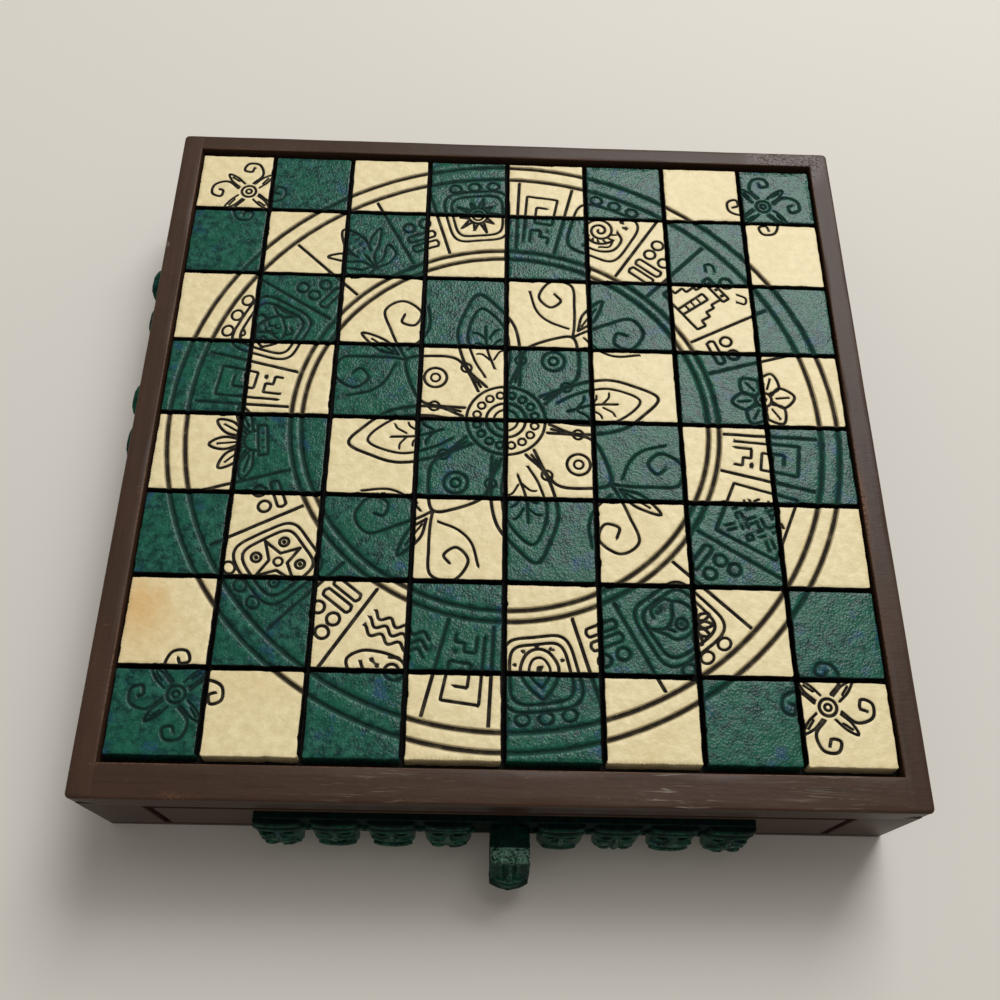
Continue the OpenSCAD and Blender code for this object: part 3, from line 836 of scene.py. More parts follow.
def step_fret(e):
    e.line([(-6.4, -13), (-6.4, 11), (5.4, 11), (5.4, -3), (-2.2, -3), (-2.2, 5.4), (1.8, 5.4)])
    e.line([(-3.4, -13), (-3.4, -7), (1, -7), (1, -10), (5, -10), (5, -13)])
    e.dot(4, -6.6)


def volute_flower(e):
    """Ornament of a corner: curling leaves round a small open flower."""
    size = 15.0
    strokes = (
        (1.0, (
            (0.3, 0.1), (0.62, 0.34), (0.98, 0.22), (1.02, -0.1), (0.78, -0.2), (0.72, 0.0), (0.84, 0.06))),
        (0.85, ((0.28, -0.14), (0.5, -0.36), (0.62, -0.62), (0.36, -0.5), (0.16, -0.28))),
        (0.75, ((0.36, -0.3), (0.5, -0.5))))
    for k in range(4):
        for width, places in strokes:
            e.curve([size * spot for spot in turned(math.radians(90 * k), *places)], width=width)
    e.arc((0, 0), size * 0.2)
    e.arc((0, 0), size * 0.08, width=0.8)


# The middle flower: reach of its long and short petals, and its turn from the board's sides
LONG_PETAL, SHORT_PETAL = 60, 47
FLOWER_TURN = math.radians(11)


def petal(e, angle, reach):
    leaf(e, angle, [(16, 4.6), (26, 10.5), (reach * 0.7, 11.5), (reach * 0.9, 5.6)], reach, 1.1)


def long_petal(e, angle):
    """A petal with a smaller one in it, and veins."""
    reach = LONG_PETAL
    petal(e, angle, reach)
    leaf(e, angle, [(21, 4.4), (30, 7.2), (reach * 0.7, 7.4)], reach * 0.88, 0.9)
    e.curve(turned(angle, (24, 0), (34, 1.2), (44, 0)), width=0.9)
    for x in (28, 33, 38):
        e.curve(turned(angle, (x, 0.9), (x + 3, 3.4), (x + 3.6, 5.2)), width=0.75)
        e.curve(turned(angle, (x, -0.6), (x + 3, -3.2), (x + 3.6, -5.0)), width=0.75)


def short_petal(e, angle):
    """A petal with an eye in it, and two curling tendrils and a leaf at its tip."""
    reach = SHORT_PETAL
    petal(e, angle, reach)
    e.arc(polar(33, angle), 4.4)
    e.arc(polar(33, angle), 1.8, width=0.8)
    tendril = ((0, 0), (5, 2.4), (13, 7.5), (21, 14), (18, 22), (9, 22), (7, 15.5), (12, 13.4), (13.5, 17))
    spur = ((2.5, 4.2), (1, 12), (2.6, 19), (8.5, 26))
    for side in (-1, 1):
        for places, width in ((tendril, 1.0), (spur, 0.9)):
            e.curve(turned(angle, *((reach + x, y * side) for x, y in places)), width=width)
    leaf(e, angle, [(reach + 4, 0), (reach + 12, 2.6)], reach + 22)
    e.line([polar(reach + 7, angle), polar(reach + 17, angle)], 0.75)


def great_flower(e):
    """Middle of the field: a wide open flower between curling leaves."""
    e.arc((0, 0), 7.5)
    e.arc((0, 0), 4.6, width=0.85)
    e.dot(0, 0, 2.0)
    e.arc((0, 0), 15.0)
    for k in range(16):
        e.arc(polar(11.2, math.radians(22.5 * k) + FLOWER_TURN), 1.5, width=0.8)
    for k in range(8):
        angle = math.radians(45 * k) + FLOWER_TURN
        if k % 2 == 0:
            long_petal(e, angle)
        else:
            short_petal(e, angle)
        between = angle + math.radians(22.5)
        e.line([polar(17.5, between), polar(24, between)], 0.9)
        e.arc(polar(28, between), 2.0, width=0.85)


MOTIFS = (
    flower, stepped_house, shell, rayed_sun, maize, fish, feather_fan, crossed_star, running_water, drop,
    crested_bird, woven_mat)
FRAMED = (rayed_sun, fish, crossed_star, drop, shell, crested_bird)
# Radii of the ring grooves, of the middle of the band between them, and of its fields' ends
RING_RADII = (77.3, 81.4, 120.3, 127.0)
BAND_RADIUS = 100.6
BAND_EDGES = (83.2, 118.4)
# Angles in degrees: a field with a motif, the narrow field beside it, and the middle of the first one
WIDE_FIELD, NARROW_FIELD, FIRST_FIELD = 19.0, 11.0, 7.0
# How far to the side of the middle crossing, and how far up or down, a corner's flower lies
CORNER_FLOWER = 109.5


def on_band(middle):
    """Gives what moves a motif's points to its place on the band, upright at that angle."""
    def warp(p):
        out, turn = BAND_RADIUS + p[:, 1], middle - p[:, 0] / BAND_RADIUS
        return np.c_[out * np.cos(turn), out * np.sin(turn)]

    return warp


def wide_field(motif):
    """A motif as it lies in its field, some of them in a frame under three small circles."""
    cell, inner = Engraving(), Engraving()
    if motif not in FRAMED:
        motif(cell)
        return cell
    motif(inner)
    cell.placed(inner, lambda p: p * 0.78)
    cartouche(cell, 13.0, 13.2, motif is not shell)
    for x in (-7, 0, 7):
        cell.arc((x, 15.6), 2.1, width=0.9)
    return cell


def narrow_field(k):
    """Bars and dots or, in every third field, a fret."""
    band = Engraving()
    if k % 3 == 2:
        step_fret(band)
    else:
        bars_and_dots(band, 1 + k % 2, 2 + k % 3)
    return band


def whole_engraving():
    """Everything that is cut into the field, with the ring grooves apart."""
    e, rings = Engraving(), Engraving()
    for radius in RING_RADII:
        rings.arc((0, 0), radius)
    for k, motif in enumerate(MOTIFS):
        middle = math.radians(k * (WIDE_FIELD + NARROW_FIELD) + FIRST_FIELD)
        side = middle + math.radians((WIDE_FIELD + NARROW_FIELD) / 2)
        e.placed(wide_field(motif), on_band(middle))
        e.placed(narrow_field(k), on_band(side))
        for edge in (-NARROW_FIELD / 2, NARROW_FIELD / 2):
            angle = side + math.radians(edge)
            e.line([polar(radius, angle) for radius in BAND_EDGES], 1.15)
    great_flower(e)
    for x in (-1, 1):
        for y in (-1, 1):
            corner = Engraving()
            volute_flower(corner)
            e.placed(corner, lambda p, way=(x, y): (p + CORNER_FLOWER) * way)
    return e, rings


# The squares. Sizes are in millimetres, and an outline's points come first in every list of points


# Where one square near the left rail is stained, and the half length of the stain
STAIN = np.array([-125.5, -74.0])
STAIN_R = (9.0, 13.0)
# How far in the rows of points on a worn edge lie, and how far apart the points of the open top
EDGE_ROWS = (0.0, 0.08, 0.26, 0.52)
GRID_STEP = 2.0
# Spacing along a line and along a ring groove, and where beside them points lie, in shares of their width
LINE_SPACING, LINE_SIDES = 0.65, (0, -0.28, 0.28, -0.55, 0.55, -0.9, 0.9)
RING_SPACING, RING_SIDES = 1.1, (0, -0.25, 0.25, -0.45, 0.45, -0.62, 0.62)
# A point is dropped where another one lies in the same cell of this size
CELL = 0.2
# How far past a square cuts still shape it, and the distance given where there is no line at all
PAST, FAR = 2.5, 99.0
# Spacing of the points of a square's rim
RIM_SPACING = 0.45
# Seed of the squares, and how much further out the walls of the nearest row stand at their foot
SQUARES_SEED = 64
FOOT_SLOPE = 0.6


def run_along(points, spacing):
    """Points and sideways directions at even steps along a line."""
    step = np.linalg.norm(np.diff(points, axis=0), axis=1)
    way = np.r_[0, np.cumsum(step)]
    count = max(2, int(round(way[-1] / spacing)) + 1)
    at = np.linspace(0, way[-1], count)
    even = np.c_[np.interp(at, way, points[:, 0]), np.interp(at, way, points[:, 1])]
    along = np.gradient(even, axis=0)
    along /= np.maximum(np.linalg.norm(along, axis=1), 1e-9)[:, None]
    return even, np.c_[-along[:, 1], along[:, 0]]


def distance(points, starts, ends, widths=None):
    """Distance from each point to the nearest piece of line, in shares of that line's width if given."""
    best = np.full(len(points), FAR)
    if not len(starts):
        return best
    for first in range(0, len(points), 1500):
        p = points[first:first + 1500, None, :]
        run = ends - starts
        share = ((p - starts) * run).sum(2) / np.maximum((run**2).sum(1), 1e-9)
        foot = starts + np.clip(share, 0, 1)[..., None] * run
        away = np.linalg.norm(p - foot, axis=2)
        best[first:first + 1500] = (away if widths is None else away / widths).min(1)
    return best


def smooth(x, low, high):
    t = np.clip((x - low) / (high - low), 0, 1)
    return t * t * (3 - 2 * t)


class Cuts:
    """The engraving as short pieces, so that each square can pick its own."""

    def __init__(self, engraving, spacing, sides):
        starts, ends, widths, spots = [], [], [], []
        for points, width in engraving.lines:
            even, aside = run_along(points, spacing)
            starts.append(even[:-1])
            ends.append(even[1:])
            widths.append(np.full(len(even) - 1, width))
            for side in sides:
                spots.append(even + aside * side * width)
        self.starts, self.ends = np.vstack(starts), np.vstack(ends)
        self.widths, self.spots = np.concatenate(widths), np.vstack(spots)

    def near(self, low, high):
        middle = (self.starts + self.ends) / 2
        keep = ((middle > low - PAST) & (middle < high + PAST)).all(1)
        inside = ((self.spots > low) & (self.spots < high)).all(1)
        return self.starts[keep], self.ends[keep], self.widths[keep], self.spots[inside]


def uneven(rng):
    """A square's corner radius, the waves in its sides and the nicks in them."""
    radius = rng.uniform(0.5, 1.2)
    waves = [(n, rng.uniform(0.015, 0.05), rng.uniform(0, 6.3)) for n in (3, 5, 8, 13, 21)]
    nicks = [
        (rng.uniform(-3.14, 3.14), rng.uniform(0.1, 0.42), rng.uniform(0.02, 0.06))
        for _ in range(rng.randint(0, 4))]
    return radius, waves, nicks


def square_outline(low, high, inset, shape):
    """A slightly uneven rounded outline of a square, drawn in by inset."""
    radius, waves, nicks = shape
    radius = max(radius - inset, 0.22)
    low, high = low + inset, high - inset
    points, sides = [], []
    centres = [
        (high[0] - radius, high[1] - radius), (low[0] + radius, high[1] - radius),
        (low[0] + radius, low[1] + radius), (high[0] - radius, low[1] + radius)]
    for k, centre in enumerate(centres):
        for a in np.radians(90 * k + np.linspace(0, 90, 6)):
            points.append(polar(radius, a, centre))
            sides.append(polar(1, a))
        a = math.radians(90 * k + 90)
        last = np.array(points[-1])
        to = np.array(polar(radius, a, centres[(k + 1) % 4]))
        count = int(np.linalg.norm(to - last) / RIM_SPACING)
        for t in np.arange(1, count) / count:
            points.append(last + (to - last) * t)
            sides.append(polar(1, a))
    points, sides = np.array(points), np.array(sides)
    around = np.arctan2(points[:, 1] - (low[1] + high[1]) / 2, points[:, 0] - (low[0] + high[0]) / 2)
    wobble = 0.12 + sum(size * np.sin(count * around + phase) for count, size, phase in waves)
    for where, size, width in nicks:
        off = (around - where + math.pi) % (2 * math.pi) - math.pi
        wobble += size * np.exp(-(off / width) ** 2)
    return points - sides * np.maximum(wobble, 0.0)[:, None] * (1 - 0.35 * inset)


def edge_rows(low, high, round_r, line, ring, rng):
    """Rows of points down a worn edge, dense only at the corners and where a cut crosses."""
    rows, shape = [], uneven(rng)
    for inset in (*EDGE_ROWS, round_r):
        row = square_outline(low, high, inset, shape)
        to_cut = np.minimum(distance(row, *line[:2]), distance(row, *ring[:2]) - 0.8)
        near_corner = (np.abs(row - (low + high) / 2) > (high - low) / 2 - 2.0).all(1)
        rows.append(row[(to_cut < 1.0) | near_corner | (np.arange(len(row)) % 3 == 0)])
    return rows


def top_points(low, high, rim, spots, rng):
    """Points inside the rim: beside the cuts, and in a loose grid over the rest."""
    x, y = (np.arange(low[k] + 1.8, high[k] - 1.5, GRID_STEP) for k in (0, 1))
    x, y = np.meshgrid(x, y)
    grid = np.c_[x.ravel(), y.ravel()]
    grid += np.array([[rng.uniform(-0.3, 0.3), rng.uniform(-0.3, 0.3)] for _ in grid])
    loose = np.vstack([*spots, grid])
    loose = loose[((loose > low + 0.25) & (loose < high - 0.25)).all(1)]
    return loose[distance(loose, rim, np.roll(rim, -1, axis=0)) > 0.22]


def thinned(points, count):
    """The first points as they are, and of the others only one in a cell."""
    seen, keep = set(), []
    for k, key in enumerate(map(tuple, np.round(points / CELL).astype(int))):
        if k < count or key not in seen:
            seen.add(key)
            keep.append(k)
    return points[keep]


def triangles(points, count):
    """Triangles inside the outline of the first points: all points, the faces and the outline."""
    rim = list(range(count))
    border = [(k, (k + 1) % count) for k in rim]
    found = delaunay_2d_cdt([Vector(p) for p in points], border, [rim], 1, 1e-4)
    place = {old: new for new, olds in enumerate(found[3]) for old in olds}
    return np.array([tuple(p) for p in found[0]]), [tuple(f) for f in found[2]], [place[k] for k in rim]


def relief(flat, middle, away, line, ring, sizes, rng):
    """Height of a top's points: worn edge, cuts with raised lips, and an uneven, tilted face."""
    round_r = sizes.rounding / MM
    drop_in = np.clip(round_r - away, 0, round_r)
    height = -(round_r - np.sqrt(np.maximum(round_r**2 - drop_in**2, 0))) * 0.8
    height -= (sizes.line_depth / MM) * (1 - smooth(line, 0.12, 0.62))
    height += 0.035 * np.exp(-((line - 0.82) / 0.16) ** 2)
    height -= (sizes.ring_depth / MM) * (1 - smooth(ring, 0.0, 0.56))
    height += 0.04 * np.exp(-((ring - 0.64) / 0.1) ** 2)
    bow = [rng.uniform(0, 6.3) for _ in range(4)]
    height += 0.07 * np.sin(flat[:, 0] * 0.55 + bow[0]) * np.sin(flat[:, 1] * 0.5 + bow[1])
    height += 0.04 * np.sin(flat[:, 0] * 1.3 + bow[2]) * np.sin(flat[:, 1] * 1.1 + bow[3])
    tilt = np.array([rng.uniform(-0.12, 0.12), rng.uniform(-0.12, 0.12)]) / 16
    height += (flat - middle) @ tilt + rng.uniform(-0.12, 0.03)
    return height


def one_square(low, high, top, bottom, cuts, sizes, rng, slope):
    """One square with the cuts that cross it, its near wall sloping out: points, faces and marks."""
    low = low + (0.0, slope)
    near_line, near_ring = (cut.near(low, high) for cut in cuts)
    rows = edge_rows(low, high, sizes.rounding / MM, near_line, near_ring, rng)
    rim, count = rows[0], len(rows[0])
    loose = top_points(low, high, rim, (near_line[3], near_ring[3]), rng)
    flat, faces, loop = triangles(thinned(np.vstack([*rows, loose]), count), count)
    away = distance(flat, rim, np.roll(rim, -1, axis=0))
    away[loop] = 0.0
    line, ring = distance(flat, *near_line[:3]), distance(flat, *near_ring[:3])
    height = relief(flat, (low + high) / 2, away, line, ring, sizes, rng)
    points = [(*p, top + h) for p, h in zip(flat, height)]
    base = len(points)
    for x, y in flat[loop]:
        points.append((x, y - slope * max(0.0, 1 - (y - low[1]) / 2), bottom))
    faces += [(loop[k], base + k, base + (k + 1) % count, loop[(k + 1) % count]) for k in range(count)]
    faces.append(tuple(base + k for k in range(count))[::-1])
    hidden = smooth(flat[:, 1] - low[1], 0.4, 1.6) if slope else np.ones(len(flat))
    stain = np.exp(-(((flat - STAIN) / STAIN_R) ** 2).sum(1))
    walls = np.zeros(count)
    marks = {
        "line": np.r_[1 - smooth(line, 0.2, 0.7), walls],
        "ring": np.r_[1 - smooth(ring, 0.1, 0.6), walls],
        # Darker along the worn rim, and on the walls as painted shade
        "edge": np.r_[np.exp(-(away / 0.45)) * 0.8, np.full(count, 0.5)],
        "stain": np.r_[stain, walls],
        "joint": np.r_[np.exp(-((away / 0.27) ** 2)), np.ones(count)] * np.r_[hidden, hidden[loop]],
    }
    return points, faces, marks


def field_cuts(centre, sizes):
    """The lines and the ring grooves of the whole field, round its middle crossing."""
    drawn, grooves = whole_engraving()
    for points, _ in drawn.lines + grooves.lines:
        points += centre
    scale = sizes.line_width / MM
    drawn.lines = [(points, width * scale) for points, width in drawn.lines]
    grooves.lines = [(points, sizes.ring_width / MM) for points, _ in grooves.lines]
    return Cuts(drawn, LINE_SPACING, LINE_SIDES), Cuts(grooves, RING_SPACING, RING_SIDES)


def square_spans(pitch, joint, first, last):
    """Start and end of the eight squares of a row, its two end squares with a length of their own."""
    half = 3 * pitch + joint / 2
    starts = [-half - first, *((i - 4) * pitch + joint / 2 for i in range(1, 8))]
    ends = [*((i - 3) * pitch - joint / 2 for i in range(7)), half + last]
    return list(zip(starts, ends))


class CHESS_OT_squares(bpy.types.Operator):
    """Cuts the thirty-two green and thirty-two cream squares with their engraving"""

    bl_idname = "chess_set.squares"
    bl_label = "Stone squares"

    def execute(self, context):
        sizes = context.scene.chess_squares
        low, high = corners("green_squares")
        pitch, joint = sizes.pitch / MM, sizes.joint / MM
        half = 3 * pitch + joint / 2
        vertices = frame["nodes"]["green_squares"].data.vertices
        ends = np.unique([round(vertex.co.y / MM, 2) for vertex in vertices])
        outer, near, far = high[0] - half, ends[1] - ends[0], ends[-1] - ends[-2]
        centre = np.array([0.0, high[1] - far - half])
        cuts = field_cuts(centre, sizes)
        columns, rows = square_spans(pitch, joint, outer, outer), square_spans(pitch, joint, near, far)
        rng = random.Random(SQUARES_SEED)
        for parity, name, material in ((0, "green", green_stone()), (1, "cream", cream_stone())):
            points, faces, marks = [], [], []
            for i, x in enumerate(columns):
                for j, y in enumerate(rows):
                    if (i + j) % 2 != parity:
                        continue
                    start, end = (np.array((x[k], y[k])) + centre for k in (0, 1))
                    p, f, m = one_square(
                        start, end, high[2] - 0.15, low[2], cuts, sizes, rng, 0.0 if j else FOOT_SLOPE)
                    faces += [tuple(k + len(points) for k in face) for face in f]
                    points += p
                    marks.append(m)
            marks = {key: np.concatenate([m[key] for m in marks]) for key in marks[0]}
            made = piece(f"{name}_stone_squares", points, faces, material, "case", marks, 50)
            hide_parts(f"{name}_squares")
        return {"FINISHED"}


# The rails of the top frame


# Signs of x and y at the two corners of the case that each rail runs between
RAILS = {
    "front_rail": ((-1, -1), (1, -1)), "right_rail": ((1, -1), (1, 1)),
    "back_rail": ((1, 1), (-1, 1)), "left_rail": ((-1, 1), (-1, -1))}
# Radius of the case's upright corners
CORNER_R = 2.0
# How far a rail's top lies under its solid's top, and the edge radius where two rails meet flush
RAIL_GAP = 0.06
FLUSH_R = 0.12
# Steps of a rounded edge, the points of a cross-section on both, and those where the varnish is rubbed. On
# the first of these, the edge beside the squares, the paler varnish is partly wear and partly a painted
# highlight
EDGE_STEPS = 5
ROUNDED = (*range(2, 6), *range(11, 15))
WORN_AND_HIGHLIT_INSIDE, RUBBED_INSIDE, RUBBED_OUTSIDE = range(11, 14), range(10, 14), range(3, 7)
# Places rubbed along a rail: middle, half length and strength. The streaks are white ones on the front rail,
# partly scuffs and partly painted sheen
RIGHT_RUB = (-32.0, 17.0, 0.7)
FRONT_RUB = (-103.6, 2.5, 0.8)
STREAKS = ((57.0, 11.0, 0.8), (108.0, 16.0, 0.3), (-40.0, 30.0, 0.2))
# The right rail lies beyond this x, the front rail before this y, and its front face before the other one
RIGHT_X, FRONT_Y, FRONT_FACE_Y = 125, -130, -141.7


def rail_section(width, bottom, top, outer_r, inner_r):
    """Cross-section of a rail: distance from its outer face, and height."""
    turn = [math.radians(90 * k / EDGE_STEPS) for k in range(EDGE_STEPS + 1)]
    section = [(0.0, bottom)]
    section += [(outer_r * (1 - math.cos(a)), top - outer_r * (1 - math.sin(a))) for a in turn]
    section += [(width * t, top) for t in (0.3, 0.5, 0.7)]
    section += [(width - inner_r * (1 - math.sin(a)), top - inner_r * (1 - math.cos(a))) for a in turn]
    section.append((width, bottom))
    return section


def at_corner(x, y, high):
    """Where a point near an upright corner of the case goes when that corner is rounded."""
    over = np.array([abs(x) - high[0] + CORNER_R, abs(y) - high[1] + CORNER_R])
    if over.min() <= 0:
        return x, y
    over *= over.max() / np.linalg.norm(over)
    return math.copysign(high[0] - CORNER_R + over[0], x), math.copysign(high[1] - CORNER_R + over[1], y)


def rail_stations(length, joints):
    """Where along a rail its cross-sections lie: closer at its ends and joints."""
    ends = np.array((0, 0.1, 0.3, 0.6, 1.1, 1.6, 2.0, 3.2))
    between = np.linspace(8, length - 8, int(length / 6))
    return sorted([*ends, *between, *(length - ends[::-1]), *joints])


def rub(at, spot):
    """How strongly a rubbed place shows at a distance along its rail."""
    middle, half, much = spot
    return much * math.exp(-((at - middle) / half) ** 2)


def wear(k, place, flush, swing):
    """How far the varnish is worn at a point of a cross-section; the pale edge beside the squares is partly a
    painted highlight.
    """
    x, y, _ = place
    much = 0.5 if k in WORN_AND_HIGHLIT_INSIDE and not flush else 0.1 * (k in ROUNDED)
    worn = much * (0.6 + 0.4 * math.sin(swing))
    if k in RUBBED_INSIDE and x > RIGHT_X:
        worn += rub(y, RIGHT_RUB)
    if k in RUBBED_OUTSIDE and y < FRONT_Y:
        worn += rub(x, FRONT_RUB)
    return worn


def one_rail(name, ways, sizes, rng):
    """A rail, the side ones over the whole depth of the case: points, faces and marks."""
    low, high = corners("deck")
    side = corners("left_rail")[1][0] - low[0]
    near = corners("front_rail")[1][1] - low[1]
    far = high[1] - corners("back_rail")[0][1]
    bottom, top = (corner[2] for corner in corners("front_rail"))
    along_y = name in ("left_rail", "right_rail")
    width = side if along_y else near if name == "front_rail" else far
    round_r = sizes.rounding / MM
    section, flush_section = (
        rail_section(width, bottom, top - RAIL_GAP, round_r, inner)
        for inner in (sizes.inner_rounding / MM, FLUSH_R))
    outside = [(high[:2] - (0 if along_y else side, 0)) * c for c in ways]
    inside = [p - ((side * c[0], 0) if along_y else (0, width * c[1])) for p, c in zip(outside, ways)]
    length = np.linalg.norm(outside[1] - outside[0])
    phases = [rng.uniform(0, 6.3) for _ in range(6)]
    first, last = (near, far) if ways[0][1] < 0 else (far, near)
    last = length - last
    stations = rail_stations(length, (first, first + 0.3, last - 0.3, last) if along_y else ())
    points, marks = [], {"worn": [], "scuffed_and_sheen": [], "shade": []}
    for s in stations:
        calm = min(1.0, s / 20, (length - s) / 20)
        wave = calm * (0.05 * math.sin(s / 31 + phases[0]) + 0.03 * math.sin(s / 9 + phases[1]))
        dent = calm * (0.05 * math.sin(s / 17 + phases[2]) + 0.04 * math.sin(s / 6.3 + phases[3]))
        flush = along_y and not first + 0.1 < s < last - 0.1
        past = max(round_r - min(s, length - s), 0.0) * along_y
        drop_in = round_r - math.sqrt(round_r**2 - past**2)
        for k, (x, z) in enumerate(flush_section if flush else section):
            start, end = (a + (b - a) * x / width for a, b in zip(outside, inside))
            rise = min(wave, 0.05) if z > bottom else 0.0
            z = min(z + rise - (k in ROUNDED) * abs(dent), top - RAIL_GAP - drop_in)
            points.append((*at_corner(*(start + (end - start) * (s / length)), high), z))
            x, y, z = points[-1]
            marks["worn"].append(wear(k, points[-1], flush, s / 11 + phases[4]))
            # Pale streaks on the front rail's top: partly scuffs, partly painted sheen
            streaked = name == "front_rail" and z > top - 0.6
            marks["scuffed_and_sheen"].append(sum(rub(x, streak) for streak in STREAKS) if streaked else 0.0)
            # Painted shade on the front rail's outer face, strongest in the middle and less towards its ends
            in_painted_shade = y < FRONT_FACE_Y and z < top - 1
            marks["shade"].append(1 - 0.6 * min(1.0, x / 132) ** 2 if in_painted_shade else 0.0)
    n = len(section)
    faces = [
        ((i + 1) * n + k, (i + 1) * n + (k + 1) % n, i * n + (k + 1) % n, i * n + k)
        for i in range(len(stations) - 1) for k in range(n)]
    faces += [tuple(range(n)), tuple(len(points) - n + k for k in range(n))[::-1]]
    return points, faces, marks


class CHESS_OT_top_frame(bpy.types.Operator):
    """Lays the four rails, the front and back ones between the side ones, with slightly worn edges, a painted
    highlight along the inner ones, pale streaks partly painted sheen and painted shade on the front rail's
    face
    """

    bl_idname = "chess_set.top_frame"
    bl_label = "Top frame"

    def execute(self, context):
        rng = random.Random(4)
        for name, ways in RAILS.items():
            points, faces, marks = one_rail(name, ways, context.scene.chess_boards, rng)
            wood = dark_wood(int(name in ("left_rail", "right_rail")))
            made = piece(f"{name}_board", points, faces, wood, "case", marks)
            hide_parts(name)
        return {"FINISHED"}


# Carving: closed shells are joined into one skin, cut and worn smooth


def loft(rings):
    """A closed shell through rings of points."""
    rings = [np.asarray(ring, float) for ring in rings]
    n = len(rings[0])
    points = np.vstack(rings)
    faces = [(i * n + k, i * n + (k + 1) % n, (i + 1) * n + (k + 1) % n, (i + 1) * n + k)
             for i in range(len(rings) - 1) for k in range(n)]
    faces += [tuple(range(n))[::-1], tuple((len(rings) - 1) * n + k for k in range(n))]
    return points, faces


def lathe(profile, squash=1.0, count=36):
    a = np.linspace(0, 2 * math.pi, count, endpoint=False)
    return loft([np.c_[r * np.cos(a), r * squash * np.sin(a), np.full(count, z)] for r, z in profile])


def ball(centre, radii, count=16):
    radii = np.broadcast_to(radii, 3)
    turns = np.linspace(-math.pi / 2 + 0.12, math.pi / 2 - 0.12, 9)
    points, faces = lathe([(math.cos(t), math.sin(t)) for t in turns], 1.0, count)
    return points * radii + centre, faces


def block(low, high, taper=1.0):
    low, high = np.array(low, float), np.array(high, float)
    middle = (low + high) / 2
    ways, rings = ((-1, -1), (1, -1), (1, 1), (-1, 1)), []
    for z, size in ((low[2], 1.0), (high[2], taper)):
        half = (high - low)[:2] / 2 * size
        rings.append([(middle[0] + x * half[0], middle[1] + y * half[1], z) for x, y in ways])
    return loft(rings)


def tube(path, radius, count=10):
    """A round rod along a path, with its radius the same or given at each point."""
    path = np.array(path, float)
    radius = np.broadcast_to(radius, len(path))
    along = np.gradient(path, axis=0)
    along /= np.linalg.norm(along, axis=1)[:, None]
    side = np.cross(along, (0.02, 0.03, 1.0) if abs(along[0][2]) < 0.9 else (1.0, 0.03, 0.02))
    side /= np.linalg.norm(side, axis=1)[:, None]
    up = np.cross(side, along)
    a = np.linspace(0, 2 * math.pi, count, endpoint=False)
    c, s = np.cos(a)[:, None], np.sin(a)[:, None]
    return loft([p + r * (c * u + s * v) for p, r, u, v in zip(path, radius, side, up)])


def arched(half, end, middle, radius, count=10):
    """A rod across the middle, from its y and z at its ends and in the middle."""
    return tube([(-half, *end), (0, *middle), (half, *end)], radius, count)


def plate(outline, thickness):
    """An outline in y and z, as thick as given along x."""
    return loft([[(x, y, z) for y, z in outline] for x in (-thickness / 2, thickness / 2)])


def moved(shell, offset=(0, 0, 0), turn=None):
    points, faces = shell
    if turn is not None:
        axis, degrees = turn
        points = points @ np.array(Matrix.Rotation(math.radians(degrees), 3, axis)).T
    return points + offset, faces


def joined(shells):
    points, faces, count = [], [], 0
    for p, f in shells:
        points.append(np.asarray(p, float))
        faces += [tuple(int(k) + count for k in face) for face in f]
        count += len(p)
    return np.vstack(points), faces


def shell_object(shells):
    points, faces = joined(shells)
    mesh = bpy.data.meshes.new("shells")
    mesh.from_pydata((points * MM).tolist(), [], faces)
    work = bmesh.new()
    work.from_mesh(mesh)
    bmesh.ops.recalc_face_normals(work, faces=work.faces)
    work.to_mesh(mesh)
    work.free()
    thing = bpy.data.objects.new("shells", mesh)
    bpy.context.scene.collection.objects.link(thing)
    return thing


# Ways of the five waves that leave a carved skin slightly uneven
CHISEL_WAVES = np.array(
    [(1.9, 0.7, 1.1), (-0.8, 2.3, 0.9), (1.2, -1.1, 2.2), (-2.7, 1.3, -1.5), (3.3, 2.1, 0.6)])


def join_skin(thing, name, voxel):
    skin_of = thing.modifiers.new(name, "REMESH")
    skin_of.mode, skin_of.voxel_size = "VOXEL", voxel * MM


def carve(solids, cuts, voxel, worn, keep, rough):
    """One closed skin round the solids with the cuts taken out, its edges worn: points and faces."""
    work, knife = shell_object(solids), shell_object(cuts)
    join_skin(work, "join", voxel)
    join_skin(knife, "join", voxel)
    cut = work.modifiers.new("cut", "BOOLEAN")
    cut.operation, cut.solver, cut.object = "DIFFERENCE", "MANIFOLD", knife
    join_skin(work, "again", voxel)
    wear_off = work.modifiers.new("wear", "SMOOTH")
    wear_off.factor, wear_off.iterations = 0.5, worn
    thin = work.modifiers.new("thin", "DECIMATE")
    thin.ratio = keep
    bpy.context.view_layer.update()
    mesh = bpy.data.meshes.new_from_object(work.evaluated_get(bpy.context.evaluated_depsgraph_get()))
    points = np.zeros(len(mesh.vertices) * 3)
    mesh.vertices.foreach_get("co", points)
    points = points.reshape(-1, 3) / MM
    faces = [tuple(face.vertices) for face in mesh.polygons]
    for thing in (work, knife):
        bpy.data.objects.remove(thing)
    bpy.data.meshes.remove(mesh)
    wave = sum(np.sin(points @ way + k) for k, way in enumerate(CHISEL_WAVES))
    away = points - points.mean(0)
    away = away / np.maximum(np.linalg.norm(away, axis=1), 1e-9)[:, None]
    return points + away * (wave * rough / 2)[:, None], faces


# Heads of the friezes: x across, -y out of the strip, z up


# How far a head stands out as it is carved, and how far at the front and back, the left and the right
SKIN_REACH = 6.3
DRAWER_REACHES = (5.5, 5.5, 5.5, 5.5, 0, 5.5, 5.5, 5.5, 5.5)
LEFT_REACHES = (7.5, 5.5, 3.8, 6.4, 5.6, 3.8, 3.8, 3.8, 3.8)
RIGHT_REACHES = (3.8,) * 9
